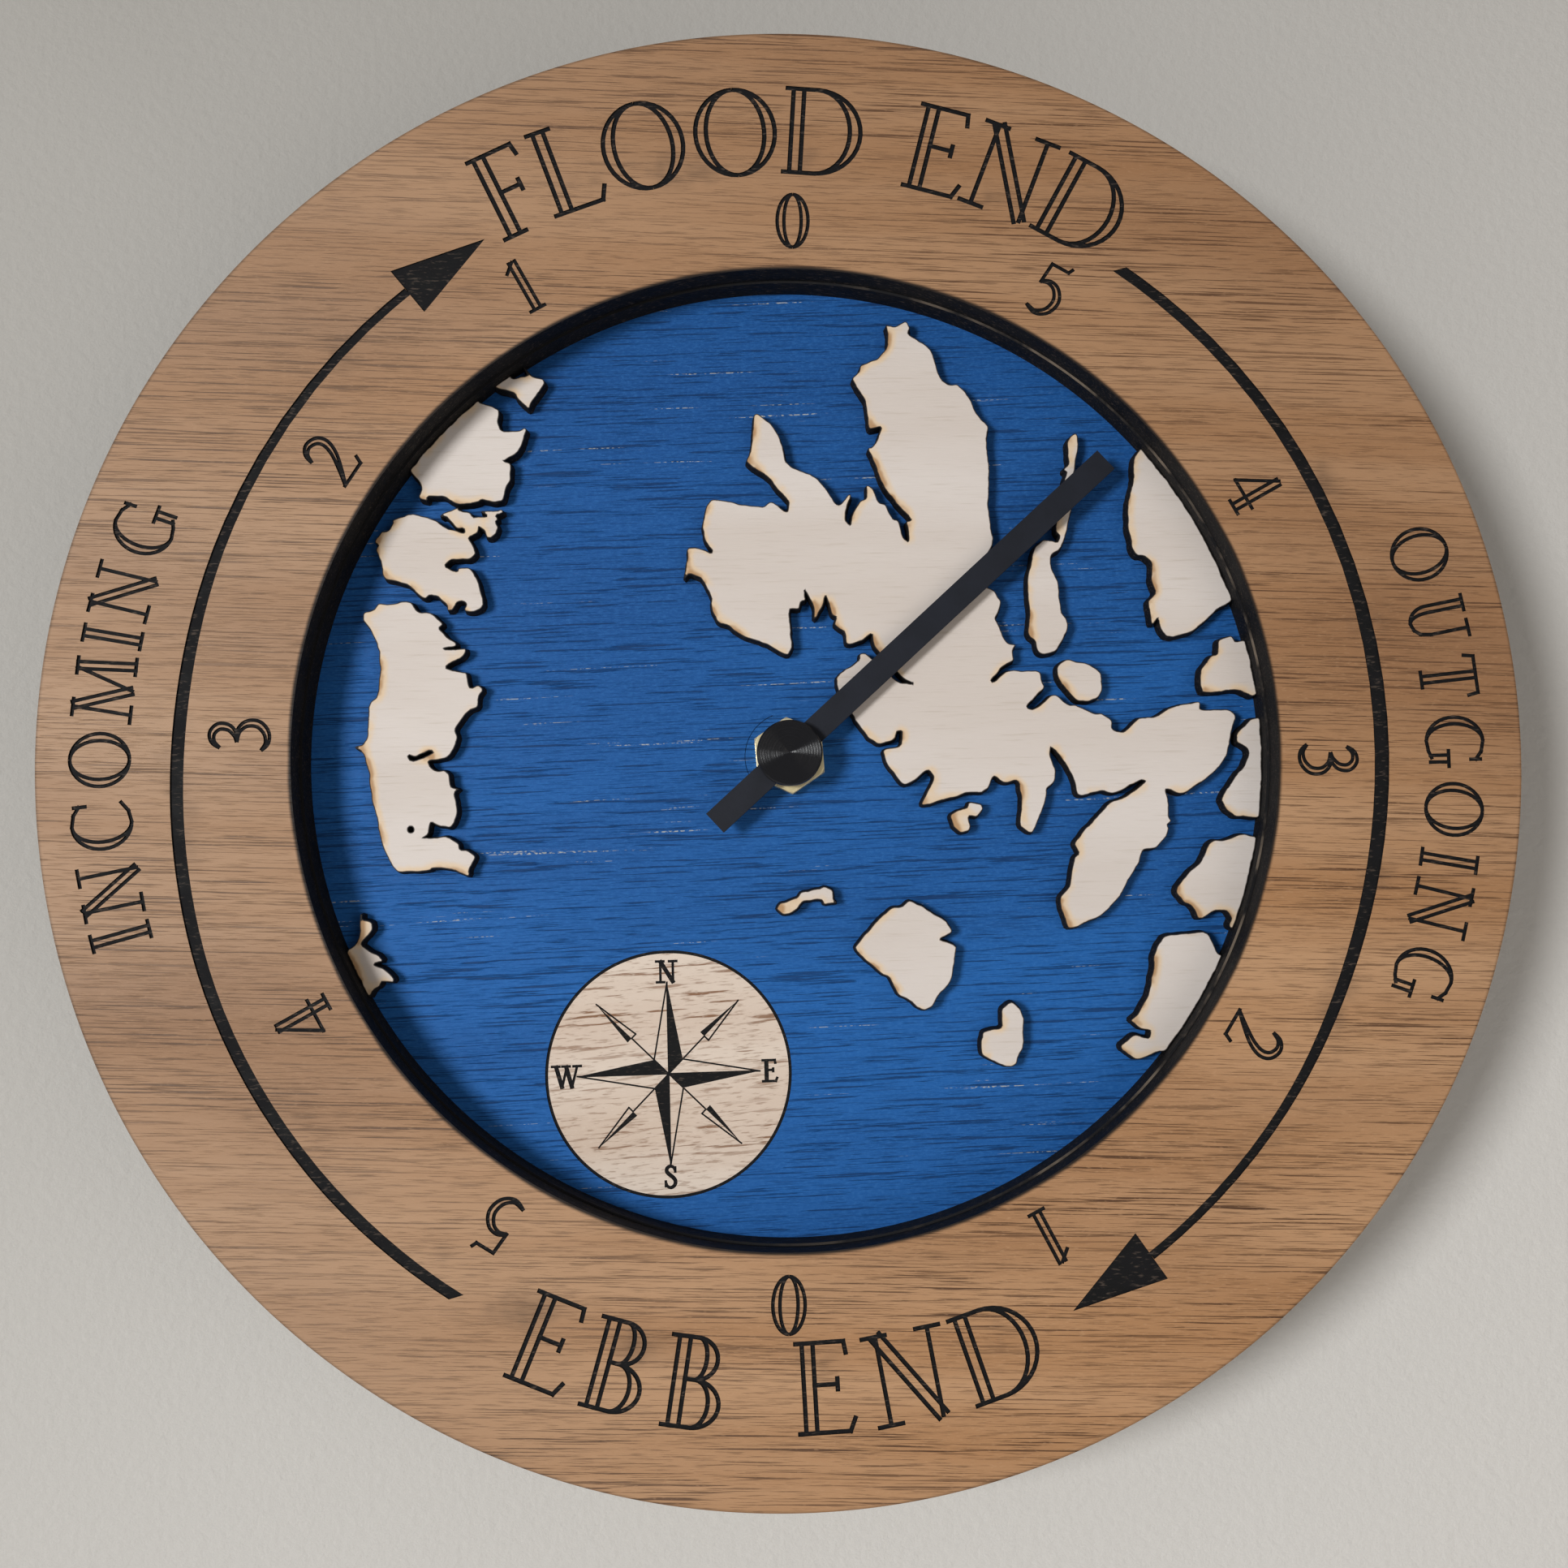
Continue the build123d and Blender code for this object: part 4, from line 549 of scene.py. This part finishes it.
def segments(path, width):
    """The outlines of straight lines along a path, each run a little too long so that corners close."""
    found = []
    for a, b in zip(path, path[1:]):
        size = hypot(b[0] - a[0], b[1] - a[1])
        reach = width / 2 / size
        dx, dy = (b[0] - a[0]) * reach, (b[1] - a[1]) * reach
        found.append(stroke([(a[0] - dx, a[1] - dy), (b[0] + dx, b[1] + dy)], width))
    return found


def smooth_path(points):
    """A curve through points, with a few steps from each to the next."""
    padded = [points[0], *points, points[-1]]
    path = []
    for p0, p1, p2, p3 in zip(padded, padded[1:], padded[2:], padded[3:]):
        for k in range(STROKE_STEPS):
            t = k / STROKE_STEPS
            path.append(tuple(
                0.5 * (2 * b + (c - a) * t + (2 * a - 5 * b + 4 * c - d) * t * t + (3 * b - a - 3 * c + d) * t ** 3)
                for a, b, c, d in zip(p0, p1, p2, p3)))
    return path + [points[-1]]


# Lettering

def glyph(letter, pen):
    """The width of a letter and the outlines of its strokes, in millimetres from its lower left corner."""
    height, gap, line = pen["height"], pen["gap"], pen["line"]
    width_share, strokes = GLYPH_SHARES[letter]
    outlines = []

    def at(share):
        return (share[0] * height, share[1] * height)

    def twin(low, high):
        for side in (-1, 1):
            outlines.extend(segments(beside([low, high], [side * gap / 2] * 2), line))

    def serif(place):
        outlines.extend(segments([(place[0] - pen["serif"] / 2, place[1]), (place[0] + pen["serif"] / 2, place[1])], line))

    for kind, *shares in strokes:
        if kind == "stem":
            low, high = at((shares[0], shares[1])), at((shares[0], shares[2]))
            twin(low, high)
            serif(low)
            serif(high)
        elif kind == "twin":
            twin(at(shares[0]), at(shares[1]))
        elif kind == "serif":
            serif(at(shares[0]))
        elif kind == "hair":
            outlines.extend(segments([at(s) for s in shares], line))
        elif kind == "oval":
            centre, radii = at(shares[0]), at(shares[1])
            for inset in (0.0, gap):
                outlines.append(stroke(oval(centre, (radii[0] - inset, radii[1]), shares[2], shares[3]), line))
        else:
            path = smooth_path([at(s) for s in shares])
            last = len(path) - 1
            swell = [SWELL_SHARE * gap / 2 * sin(pi * k / last) for k in range(last + 1)]
            for side in (-1, 1):
                outlines.append(stroke(beside(path, [side * s for s in swell]), line))
    return width_share * height, outlines


def set_on_arc(outlines, width, pen, radius, degrees, outward):
    """A letter's outlines stood on an arc, with its top away from the centre or towards it."""
    angle = radians(degrees)
    side = 1 if outward else -1
    along = (side * cos(angle), -side * sin(angle))
    up = (side * sin(angle), side * cos(angle))
    foot = bearing(radius, degrees)
    return [[(foot[0] + (x - width / 2) * along[0] + y * up[0], foot[1] + (x - width / 2) * along[1] + y * up[1])
             for x, y in outline] for outline in outlines]


def legend(words, pen, radius, first, last, outward):
    """The outlines of words spaced evenly along an arc between two bearings."""
    space = WORD_SPACE_SHARE * pen["height"]
    glyphs = [(space, []) if letter == " " else glyph(letter, pen) for letter in words]
    middle_r = radius + pen["height"] / 2 if outward else radius - pen["height"] / 2
    room = abs(radians(last - first)) * middle_r - sum(width for width, _ in glyphs)
    gap = room / (len(glyphs) - 1)
    turn = (last - first) / abs(last - first)
    travelled = 0.0
    found = []
    for width, outlines in glyphs:
        degrees = first + turn * (travelled + width / 2) / middle_r * 180 / pi
        found.extend(set_on_arc(outlines, width, pen, radius, degrees, outward))
        travelled += width + gap
    return found


def scale_digits():
    found = []
    for letter, degrees in zip(SCALE_DIGITS, SCALE_BEARINGS):
        width, outlines = glyph(letter, DIGIT_PEN)
        found.extend(set_on_arc(outlines, width, DIGIT_PEN, SCALE_R - DIGIT_PEN["height"] / 2, degrees, True))
    return found


def arrow(line, tip, tip_r):
    """A curved arrow: a line whose radius and width change along it, cut on the slant at its tail, and a head."""
    stations = smooth_path(line)
    middle = [bearing(r, degrees) for degrees, r, _ in stations]
    half = [w / 2 for _, _, w in stations]
    outer, inner = beside(middle, half), beside(middle, [-h for h in half])
    inner[0] = bearing(hypot(*inner[0]), line[0][0] - ARROW_TAIL_SLANT)
    neck, neck_r, _ = line[-1]
    head = [bearing(tip_r, tip), bearing(neck_r - ARROW_HEAD_HALF, neck), bearing(neck_r + ARROW_HEAD_HALF, neck)]
    return [outer + inner[::-1], head]


def ring_marks():
    marks = scale_digits()
    for words in LEGENDS:
        marks.extend(legend(*words))
    for shape in ARROWS:
        marks.extend(arrow(*shape))
    return marks


def compass_point(quarter):
    """One main point: its clockwise half is filled and its other half is outlined."""
    tip = bearing(POINT_L, quarter)
    waist = POINT_WAIST * sqrt(2)
    left, right = bearing(waist, quarter - 45), bearing(waist, quarter + 45)
    filled = [(0.0, 0.0), tip, right]
    return [filled] + segments([(0.0, 0.0), left, tip, (0.0, 0.0)], POINT_LINE)


def compass_dart(diagonal):
    """A small dart on a line between two main points, half filled."""
    tip, tail = bearing(DART_TIP, diagonal), bearing(DART_FROM, diagonal)
    reach = hypot(DART_FROM, DART_HALF)
    spread = 180 / pi * DART_HALF / DART_FROM
    dark, light = bearing(reach, diagonal - spread), bearing(reach, diagonal + spread)
    shaft = [bearing(POINT_WAIST, diagonal), tail]
    return [[tail, dark, tip]] + segments([tail, light, tip], POINT_LINE) + segments(shaft, POINT_LINE)


def compass_marks():
    """The compass rose: outline, four points, four darts and four letters."""
    rim = COMPASS_R - COMPASS_LINE / 2
    half_steps = CIRCLE_STEPS // 3
    halves = [[bearing(rim, start + 181.0 * k / half_steps) for k in range(half_steps + 1)] for start in (0, 180)]
    marks = [stroke(half, COMPASS_LINE) for half in halves]
    for quarter, letter in zip((0, 90, 180, 270), "NESW"):
        marks.extend(compass_point(quarter))
        marks.extend(compass_dart(quarter + 45))
        width, outlines = glyph(letter, COMPASS_PEN)
        x, y = bearing(COMPASS_LETTER_R, quarter)
        corner = (x - width / 2, y - COMPASS_PEN["height"] / 2)
        marks.extend([[(corner[0] + a, corner[1] + b) for a, b in outline] for outline in outlines])
    turn = radians(COMPASS_TURN)
    return [[(COMPASS_AT[0] + x * cos(turn) - y * sin(turn), COMPASS_AT[1] + x * sin(turn) + y * cos(turn))
             for x, y in mark] for mark in marks]


def hub_mark():
    """A light score beside the nut, cut round part of it."""
    first, last = HUB_MARK_SPAN
    return [stroke([bearing(HUB_MARK_R, first + (last - first) * k / 60) for k in range(61)], HUB_MARK_W)]


# Meshes

def to_row(point, out):
    """A dial point at a level out from the wall, in the row frame."""
    return Vector((point[0] * MM, -out * MM, point[1] * MM))


def anticlockwise(loop):
    """An outline in anticlockwise order."""
    area = sum(a[0] * b[1] - b[0] * a[1] for a, b in zip(loop, loop[1:] + loop[:1]))
    return loop if area > 0 else loop[::-1]


def triangles(outlines, points=()):
    """Triangles between outlines. Each comes with the numbers of the outlines that it lies in."""
    loops = [anticlockwise(outline) for outline in outlines]
    coords = [Vector(p) for loop in loops for p in loop] + [Vector(p) for p in points]
    faces, start = [], 0
    for loop in loops:
        faces.append(list(range(start, start + len(loop))))
        start += len(loop)
    places, _, tris, _, _, inside = delaunay_2d_cdt(coords, [], faces, 0, 1e-5)
    return [(p[0], p[1]) for p in places], [(list(t), set(i)) for t, i in zip(tris, inside)]


def finish_mesh(name, bm, materials, body, slot, *replaced):
    """An object from a bmesh, shaded smooth across gentle edges, which rides on a body."""
    mesh = bpy.data.meshes.new(name)
    bm.to_mesh(mesh)
    bm.free()
    for key in materials:
        mesh.materials.append(MATERIALS[key])
    mesh.polygons.foreach_set("use_smooth", [True] * len(mesh.polygons))
    mesh.set_sharp_from_angle(angle=radians(30))
    made = bpy.data.objects.new(name, mesh)
    bpy.context.scene.collection.objects.link(made)
    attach(made, body)
    if replaced:
        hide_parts(*replaced)
    return made


def engraved_plate(outer, hole, fields, marks, front, back, groove):
    """A flat plate with a hole, fields of other material on its face, and marks cut into it.
    Material numbers: 0 face, 1 marks, 2 wall of the hole, 3 outer wall, 4 back, 5 and on the fields."""
    loops = [outer, hole, *fields, *marks]
    first_mark = 2 + len(fields)
    places, tris = triangles(loops)
    bm = bmesh.new()
    made = {}

    def corner(index, out):
        key = (index, out)
        if key not in made:
            made[key] = bm.verts.new(to_row(places[index], out))
        return made[key]

    def face(corners, material):
        bm.faces.new(corners).material_index = material

    levels, sides = {}, {}
    for corners, inside in tris:
        if 0 not in inside or 1 in inside:
            continue
        marked = max(inside) >= first_mark
        out = front - groove if marked else front
        field = [k for k in inside if 2 <= k < first_mark]
        face([corner(c, out) for c in corners], 1 if marked else 5 + field[0] - 2 if field else 0)
        for a, b in zip(corners, corners[1:] + corners[:1]):
            levels[(a, b)] = out
    for (a, b), out in levels.items():
        other = levels.get((b, a))
        if other is None:
            sides[a] = b
            near_hole = hypot(*places[a]) < (hypot(*outer[0]) + hypot(*hole[0])) / 2
            face([corner(a, out), corner(a, back), corner(b, back), corner(b, out)], 2 if near_hole else 3)
        elif other < out:
            face([corner(a, out), corner(a, other), corner(b, other), corner(b, out)], 1)
    numbers = {places_key(places[a]): a for a in sides}
    back_places, back_tris = triangles([outer, hole])
    for corners, inside in back_tris:
        if 0 in inside and 1 not in inside:
            face([corner(numbers[places_key(back_places[c])], back) for c in corners[::-1]], 4)
    return bm


def places_key(place):
    return (round(place[0], 3), round(place[1], 3))


def lathe(profile, centre_out=0.0, steps=CIRCLE_STEPS // 2):
    """A turned piece: a closed profile of radius and level, turned about the hand's axis."""
    bm = bmesh.new()
    rings = []
    for k in range(steps):
        rings.append([bm.verts.new(to_row(bearing(r, 360 * k / steps), centre_out + out)) for r, out in profile])
    for ring, following in zip(rings, rings[1:] + rings[:1]):
        for j in range(len(profile)):
            i = j - 1
            bm.faces.new([ring[i], ring[j], following[j], following[i]])
    bmesh.ops.remove_doubles(bm, verts=bm.verts, dist=1e-7)
    bmesh.ops.recalc_face_normals(bm, faces=bm.faces)
    return bm


# What the frame gives

def levels_of(node):
    """The back and front of a node, out from the wall."""
    low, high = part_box(node)
    return -high.y / MM, -low.y / MM


def radii_of(node):
    """The least and greatest distance of a node's corners from the hand's axis."""
    found = [hypot(v.co.x, v.co.z) / MM for v in NODES[node].data.vertices]
    return min(found), max(found)


# Wooden layers

def front_ring():
    hole_r, outer_r = radii_of("front_ring")
    back, front = levels_of("front_ring")
    bm = engraved_plate(circle(outer_r), circle(hole_r), [], ring_marks(), front, back, GROOVE)
    finish_mesh("front_ring_engraved", bm, ("ring_wood", "char", "char", "edge", "ply"), "clock", "ring_wood", "front_ring")


def dial_disc():
    hole_r, outer_r = radii_of("dial_disc")
    back, front = levels_of("dial_disc")
    field = circle(COMPASS_R - COMPASS_LINE / 2, COMPASS_AT)
    marks = compass_marks() + hub_mark()
    bm = engraved_plate(circle(outer_r), circle(hole_r), [field], marks, front, back, 0.5 * GROOVE)
    materials = ("dial_paint", "char", "char", "edge", "ply", "compass_wood")
    finish_mesh("dial_disc_painted", bm, materials, "clock", "dial_paint", "dial_disc")


def spacer_ring():
    hole_r, outer_r = radii_of("spacer_ring")
    back, front = levels_of("spacer_ring")
    bm = engraved_plate(circle(outer_r), circle(hole_r), [], [], front, back, GROOVE)
    finish_mesh("spacer_ring_cut", bm, ("ledge", "char", "char", "edge", "ply"), "clock", "spacer_wood", "spacer_ring")


# Land

def top_loops(node, top):
    """The outlines of a flat piece's front face, longest first."""
    mesh = NODES[node].data
    places = [places_key((v.co.x / MM, v.co.z / MM)) for v in mesh.vertices]
    mesh.calc_loop_triangles()
    edges = set()
    for tri in mesh.loop_triangles:
        if all(abs(-mesh.vertices[i].co.y / MM - top) < 0.01 for i in tri.vertices):
            corners = [places[i] for i in tri.vertices]
            if (corners[1][0] - corners[0][0]) * (corners[2][1] - corners[0][1]) < (
                    corners[2][0] - corners[0][0]) * (corners[1][1] - corners[0][1]):
                corners.reverse()
            for edge in zip(corners, corners[1:] + corners[:1]):
                if edge[::-1] in edges:
                    edges.remove(edge[::-1])
                else:
                    edges.add(edge)
    following = dict(edges)
    loops = []
    while following:
        start = next(iter(sorted(following)))
        loop = [start]
        step = following.pop(start)
        while step != start:
            loop.append(step)
            step = following.pop(step)
        loops.append(loop)
    return sorted(loops, key=len, reverse=True)


def outward(loop):
    """Unit normals that point away from what lies to the left of an outline."""
    line = np.array(loop)
    tangent = np.roll(line, -1, 0) - np.roll(line, 1, 0)
    tangent /= np.maximum(np.hypot(*tangent.T), 1e-6)[:, None]
    return np.stack([tangent[:, 1], -tangent[:, 0]], 1)


def cut_line(loop):
    """A coast as the laser cut it: corners eased, even steps and a slight waver."""
    points = np.array(loop)
    for _ in range(2):
        ahead = np.roll(points, -1, 0)
        points = np.stack([0.86 * points + 0.14 * ahead, 0.14 * points + 0.86 * ahead], 1).reshape(-1, 2)
    closed = np.vstack([points, points[:1]])
    length = np.concatenate([[0], np.cumsum(np.hypot(*np.diff(closed, axis=0).T))])
    count = max(int(length[-1] / LAND_STEP), 12)
    at = np.linspace(0, length[-1], count, endpoint=False)
    even = np.stack([np.interp(at, length, closed[:, k]) for k in (0, 1)], 1)
    waver = np.array([noise.fractal(Vector((x / LAND_WAVE, y / LAND_WAVE, 0.0)), 0.7, 2.0, 3) for x, y in even])
    moved = even + LAND_WOBBLE * waver[:, None] * outward(even)
    return [(float(x), float(y)) for x, y in moved]


def scorch_at(points, loops):
    """How much heat reached each point from the cut lines round it, about 1 at a straight edge."""
    total = np.zeros(len(points))
    for loop in loops:
        line = np.array(loop)
        steps = np.hypot(*(np.roll(line, -1, 0) - line).T)
        steps *= np.clip(0.7 + 0.9 * outward(loop) @ np.array(SCORCH_SIDE), 0.15, 1.6)
        for start in range(0, len(points), 2000):
            part = points[start:start + 2000]
            apart = ((part[:, None, :] - line[None, :, :]) ** 2).sum(2)
            total[start:start + 2000] += (np.exp(-apart / SCORCH_REACH ** 2) * steps).sum(1)
    return total / (SCORCH_REACH * sqrt(pi))


def land_piece(node):
    """A land piece with its cut outline, scorched face and charred walls."""
    back, front = levels_of(node)
    loops = [cut_line(loop) for loop in top_loops(node, front)]
    outline = np.array(loops[0])
    low, high = outline.min(0), outline.max(0)
    grid = np.stack(np.meshgrid(np.arange(low[0], high[0], LAND_GRID), np.arange(low[1], high[1], LAND_GRID)), -1)
    inner = []
    for loop in loops:
        inner.append(np.array(loop) - SCORCH_RIM * outward(loop))
    spread = np.vstack([grid.reshape(-1, 2), *inner])
    line = np.vstack([np.array(loop) for loop in loops])
    keep = [((line - p) ** 2).sum(1).min() > (0.9 * SCORCH_RIM) ** 2 for p in spread]
    places, tris = triangles(loops, [tuple(p) for p in spread[keep]])
    bm = bmesh.new()
    heat = bm.verts.layers.float.new("scorch")
    rim = bm.verts.layers.float.new("rim")
    heats = scorch_at(np.array(places), loops)
    rim_count = sum(len(loop) for loop in loops)
    leans = np.vstack([outward(anticlockwise(loop)) * (-1 if k else 1) for k, loop in enumerate(loops)])
    reach, _ = radii_of("spacer_ring")
    made = {}

    def corner(index, out):
        key = (index, out)
        if key not in made:
            place = np.array(places[index])
            if out == back and index < rim_count:
                place = place + LAND_TAPER * leans[index]
                place = place * min(1.0, reach / hypot(*place))
            made[key] = bm.verts.new(to_row(place, out))
            made[key][heat] = float(heats[index])
            made[key][rim] = 1.0 if index < rim_count else 0.0
        return made[key]

    edges = set()
    for corners, inside in tris:
        if inside == {0}:
            bm.faces.new([corner(c, front) for c in corners])
            bm.faces.new([corner(c, back) for c in corners[::-1]]).material_index = 1
            edges.update(zip(corners, corners[1:] + corners[:1]))
    for a, b in edges:
        if (b, a) not in edges:
            wall = [corner(a, front), corner(a, back), corner(b, back), corner(b, front)]
            bm.faces.new(wall).material_index = 1
    finish_mesh(node + "_cut", bm, ("land_wood", "char"), "clock", "land_wood", node)


# Hub

def hand_cap():
    """The turned cap: fine rings cut in its face and a chamfer."""
    _, outer_r = radii_of("hand_cap")
    back, front = levels_of("hand_cap")
    chamfer, ring_pitch, ring_depth = 0.3, 0.55, 0.02
    face = []
    radius = outer_r - chamfer
    while radius > 2 * ring_pitch:
        face.extend([(radius, front), (radius - 0.35 * ring_pitch, front), (radius - 0.5 * ring_pitch, front - ring_depth)])
        radius -= ring_pitch
    profile = [(0.0, back), (outer_r, back), (outer_r, front - chamfer), *face, (0.2, front - 0.05), (0.0, front - 0.08)]
    finish_mesh("hand_cap_turned", lathe(profile), ("cap_black",), "hand", "cap_black", "hand_cap")


# Build the pieces that replace CAD nodes
front_ring()
dial_disc()
spacer_ring()
hand_cap()
for entry in frame["record"]["subparts"]:
    if entry["material_slot"] == "land_wood":
        land_piece(entry["node"])

# Every other node keeps its shape and takes its slot's material
for entry in frame["record"]["subparts"]:
    shown = NODES[entry["node"]]
    if not shown.hide_render:
        shown.data.materials.clear()
        shown.data.materials.append(MATERIALS[entry["material_slot"]])


# Stage

def stage_plane(name, size, place, turn, material):
    mesh = bpy.data.meshes.new(name)
    half = size / 2
    mesh.from_pydata([(-half, -half, 0), (half, -half, 0), (half, half, 0), (-half, half, 0)], [], [(0, 1, 2, 3)])
    mesh.materials.append(material)
    made = bpy.data.objects.new(name, mesh)
    made.location = place
    made.rotation_euler = turn
    bpy.context.scene.collection.objects.link(made)


def wall_paint():
    """Pale wall paint, darker to the upper left as painted shade, seen from its front only and no bar to light, so that
    the clock's back can be looked at.
    """
    look = Look("wall_paint")
    cloud = look.noise(look.grid((3, 3, 3)), 3.0)
    roller = look.noise(look.grid((420, 420, 420)), 3.0, 0.6)
    across, up, _ = look.axes()
    # Painted shade: the wall is darker towards the upper left and paler towards the lower right
    painted_shade_slope = look.math("SUBTRACT", across, up)
    tone = look.mix(look.between(painted_shade_slope, -0.5, 0.5), linear("9A9690"), linear("D4D0CB"))
    tone = look.mix(look.between(cloud, 0.35, 0.7, 0.0, 0.1), tone, linear("DEDBD7"))
    look.done(tone, 0.8, look.bump(roller, 0.0003), Specular_IOR_Level=0.2)
    clear = look.node("BsdfTransparent").outputs[0]
    ray = look.node("LightPath")
    direct = look.math("LESS_THAN", ray.outputs["Diffuse Depth"], 0.5)
    bounced = look.math("LESS_THAN", ray.outputs["Diffuse Depth"], 1.5)
    unlit = look.math("MAXIMUM", look.math("MULTIPLY", ray.outputs["Is Shadow Ray"], direct),
                      look.math("MULTIPLY", ray.outputs["Is Diffuse Ray"], bounced))
    behind = look.math("MAXIMUM", look.node("NewGeometry").outputs["Backfacing"], unlit)
    choose = look.node("MixShader")
    look.put(choose.inputs[0], behind)
    look.put(choose.inputs[1], look.shader.outputs[0])
    look.put(choose.inputs[2], clear)
    look.put(look.tree.nodes["Material Output"].inputs["Surface"], choose.outputs[0])
    return look.material


def area_light(name, place, aim, size, power, color=(1.0, 1.0, 1.0)):
    lamp = bpy.data.lights.new(name, "AREA")
    lamp.shape = "DISK"
    lamp.size = size
    lamp.energy = power
    lamp.color = color
    made = bpy.data.objects.new(name, lamp)
    made.location = place
    made.rotation_euler = (Vector(aim) - Vector(place)).to_track_quat("-Z", "Y").to_euler()
    bpy.context.scene.collection.objects.link(made)


WALL_SIZE = 3.0
WALL_GAP = 0.0004
FLOOR_DROP = 0.9
stage_plane("wall", WALL_SIZE, (0, WALL_GAP, 0), (pi / 2, 0, 0), wall_paint())
stage_plane("floor", 2 * WALL_SIZE, (0, 0, -FLOOR_DROP), (0, 0, 0),
            surface("floor_pale", "D8D5D0", "DEDCD8", 0.7, 0.004, 0.0001))
area_light("window", (-0.90, -1.30, 0.02), (0, 0, 0), 0.42, 19.8, (0.97, 0.99, 1.0))
area_light("fill", (1.1, -1.4, -0.3), (0, 0, 0), 1.2, 4.4, (1.0, 0.93, 0.85))
area_light("back", (0.5, 1.2, 0.9), (0, 0, 0), 1.2, 20.0)
world = bpy.data.worlds.new("studio")
bpy.context.scene.world = world
world.use_nodes = True
world.node_tree.nodes["Background"].inputs[0].default_value = (1.0, 0.99, 0.98, 1.0)
world.node_tree.nodes["Background"].inputs[1].default_value = 0.235

# Camera, where the photograph was taken from
CAMERA_AT = (-0.0026, -0.3429, -0.0318)
CAMERA_AIM = (0.0323, 0.9974, 0.0642)
CAMERA_LENS = 34.92
camera_data = bpy.data.cameras.new("camera")
camera_data.lens = CAMERA_LENS
camera_data.sensor_width = 36.0
camera_data.shift_x = -0.0268
camera_data.shift_y = 0.0169
camera_data.clip_start = 0.01
camera = bpy.data.objects.new("camera", camera_data)
camera.location = CAMERA_AT
camera.rotation_euler = Vector(CAMERA_AIM).to_track_quat("-Z", "Y").to_euler()
bpy.context.scene.collection.objects.link(camera)
bpy.context.scene.camera = camera
bpy.context.scene.view_settings.view_transform = "Standard"
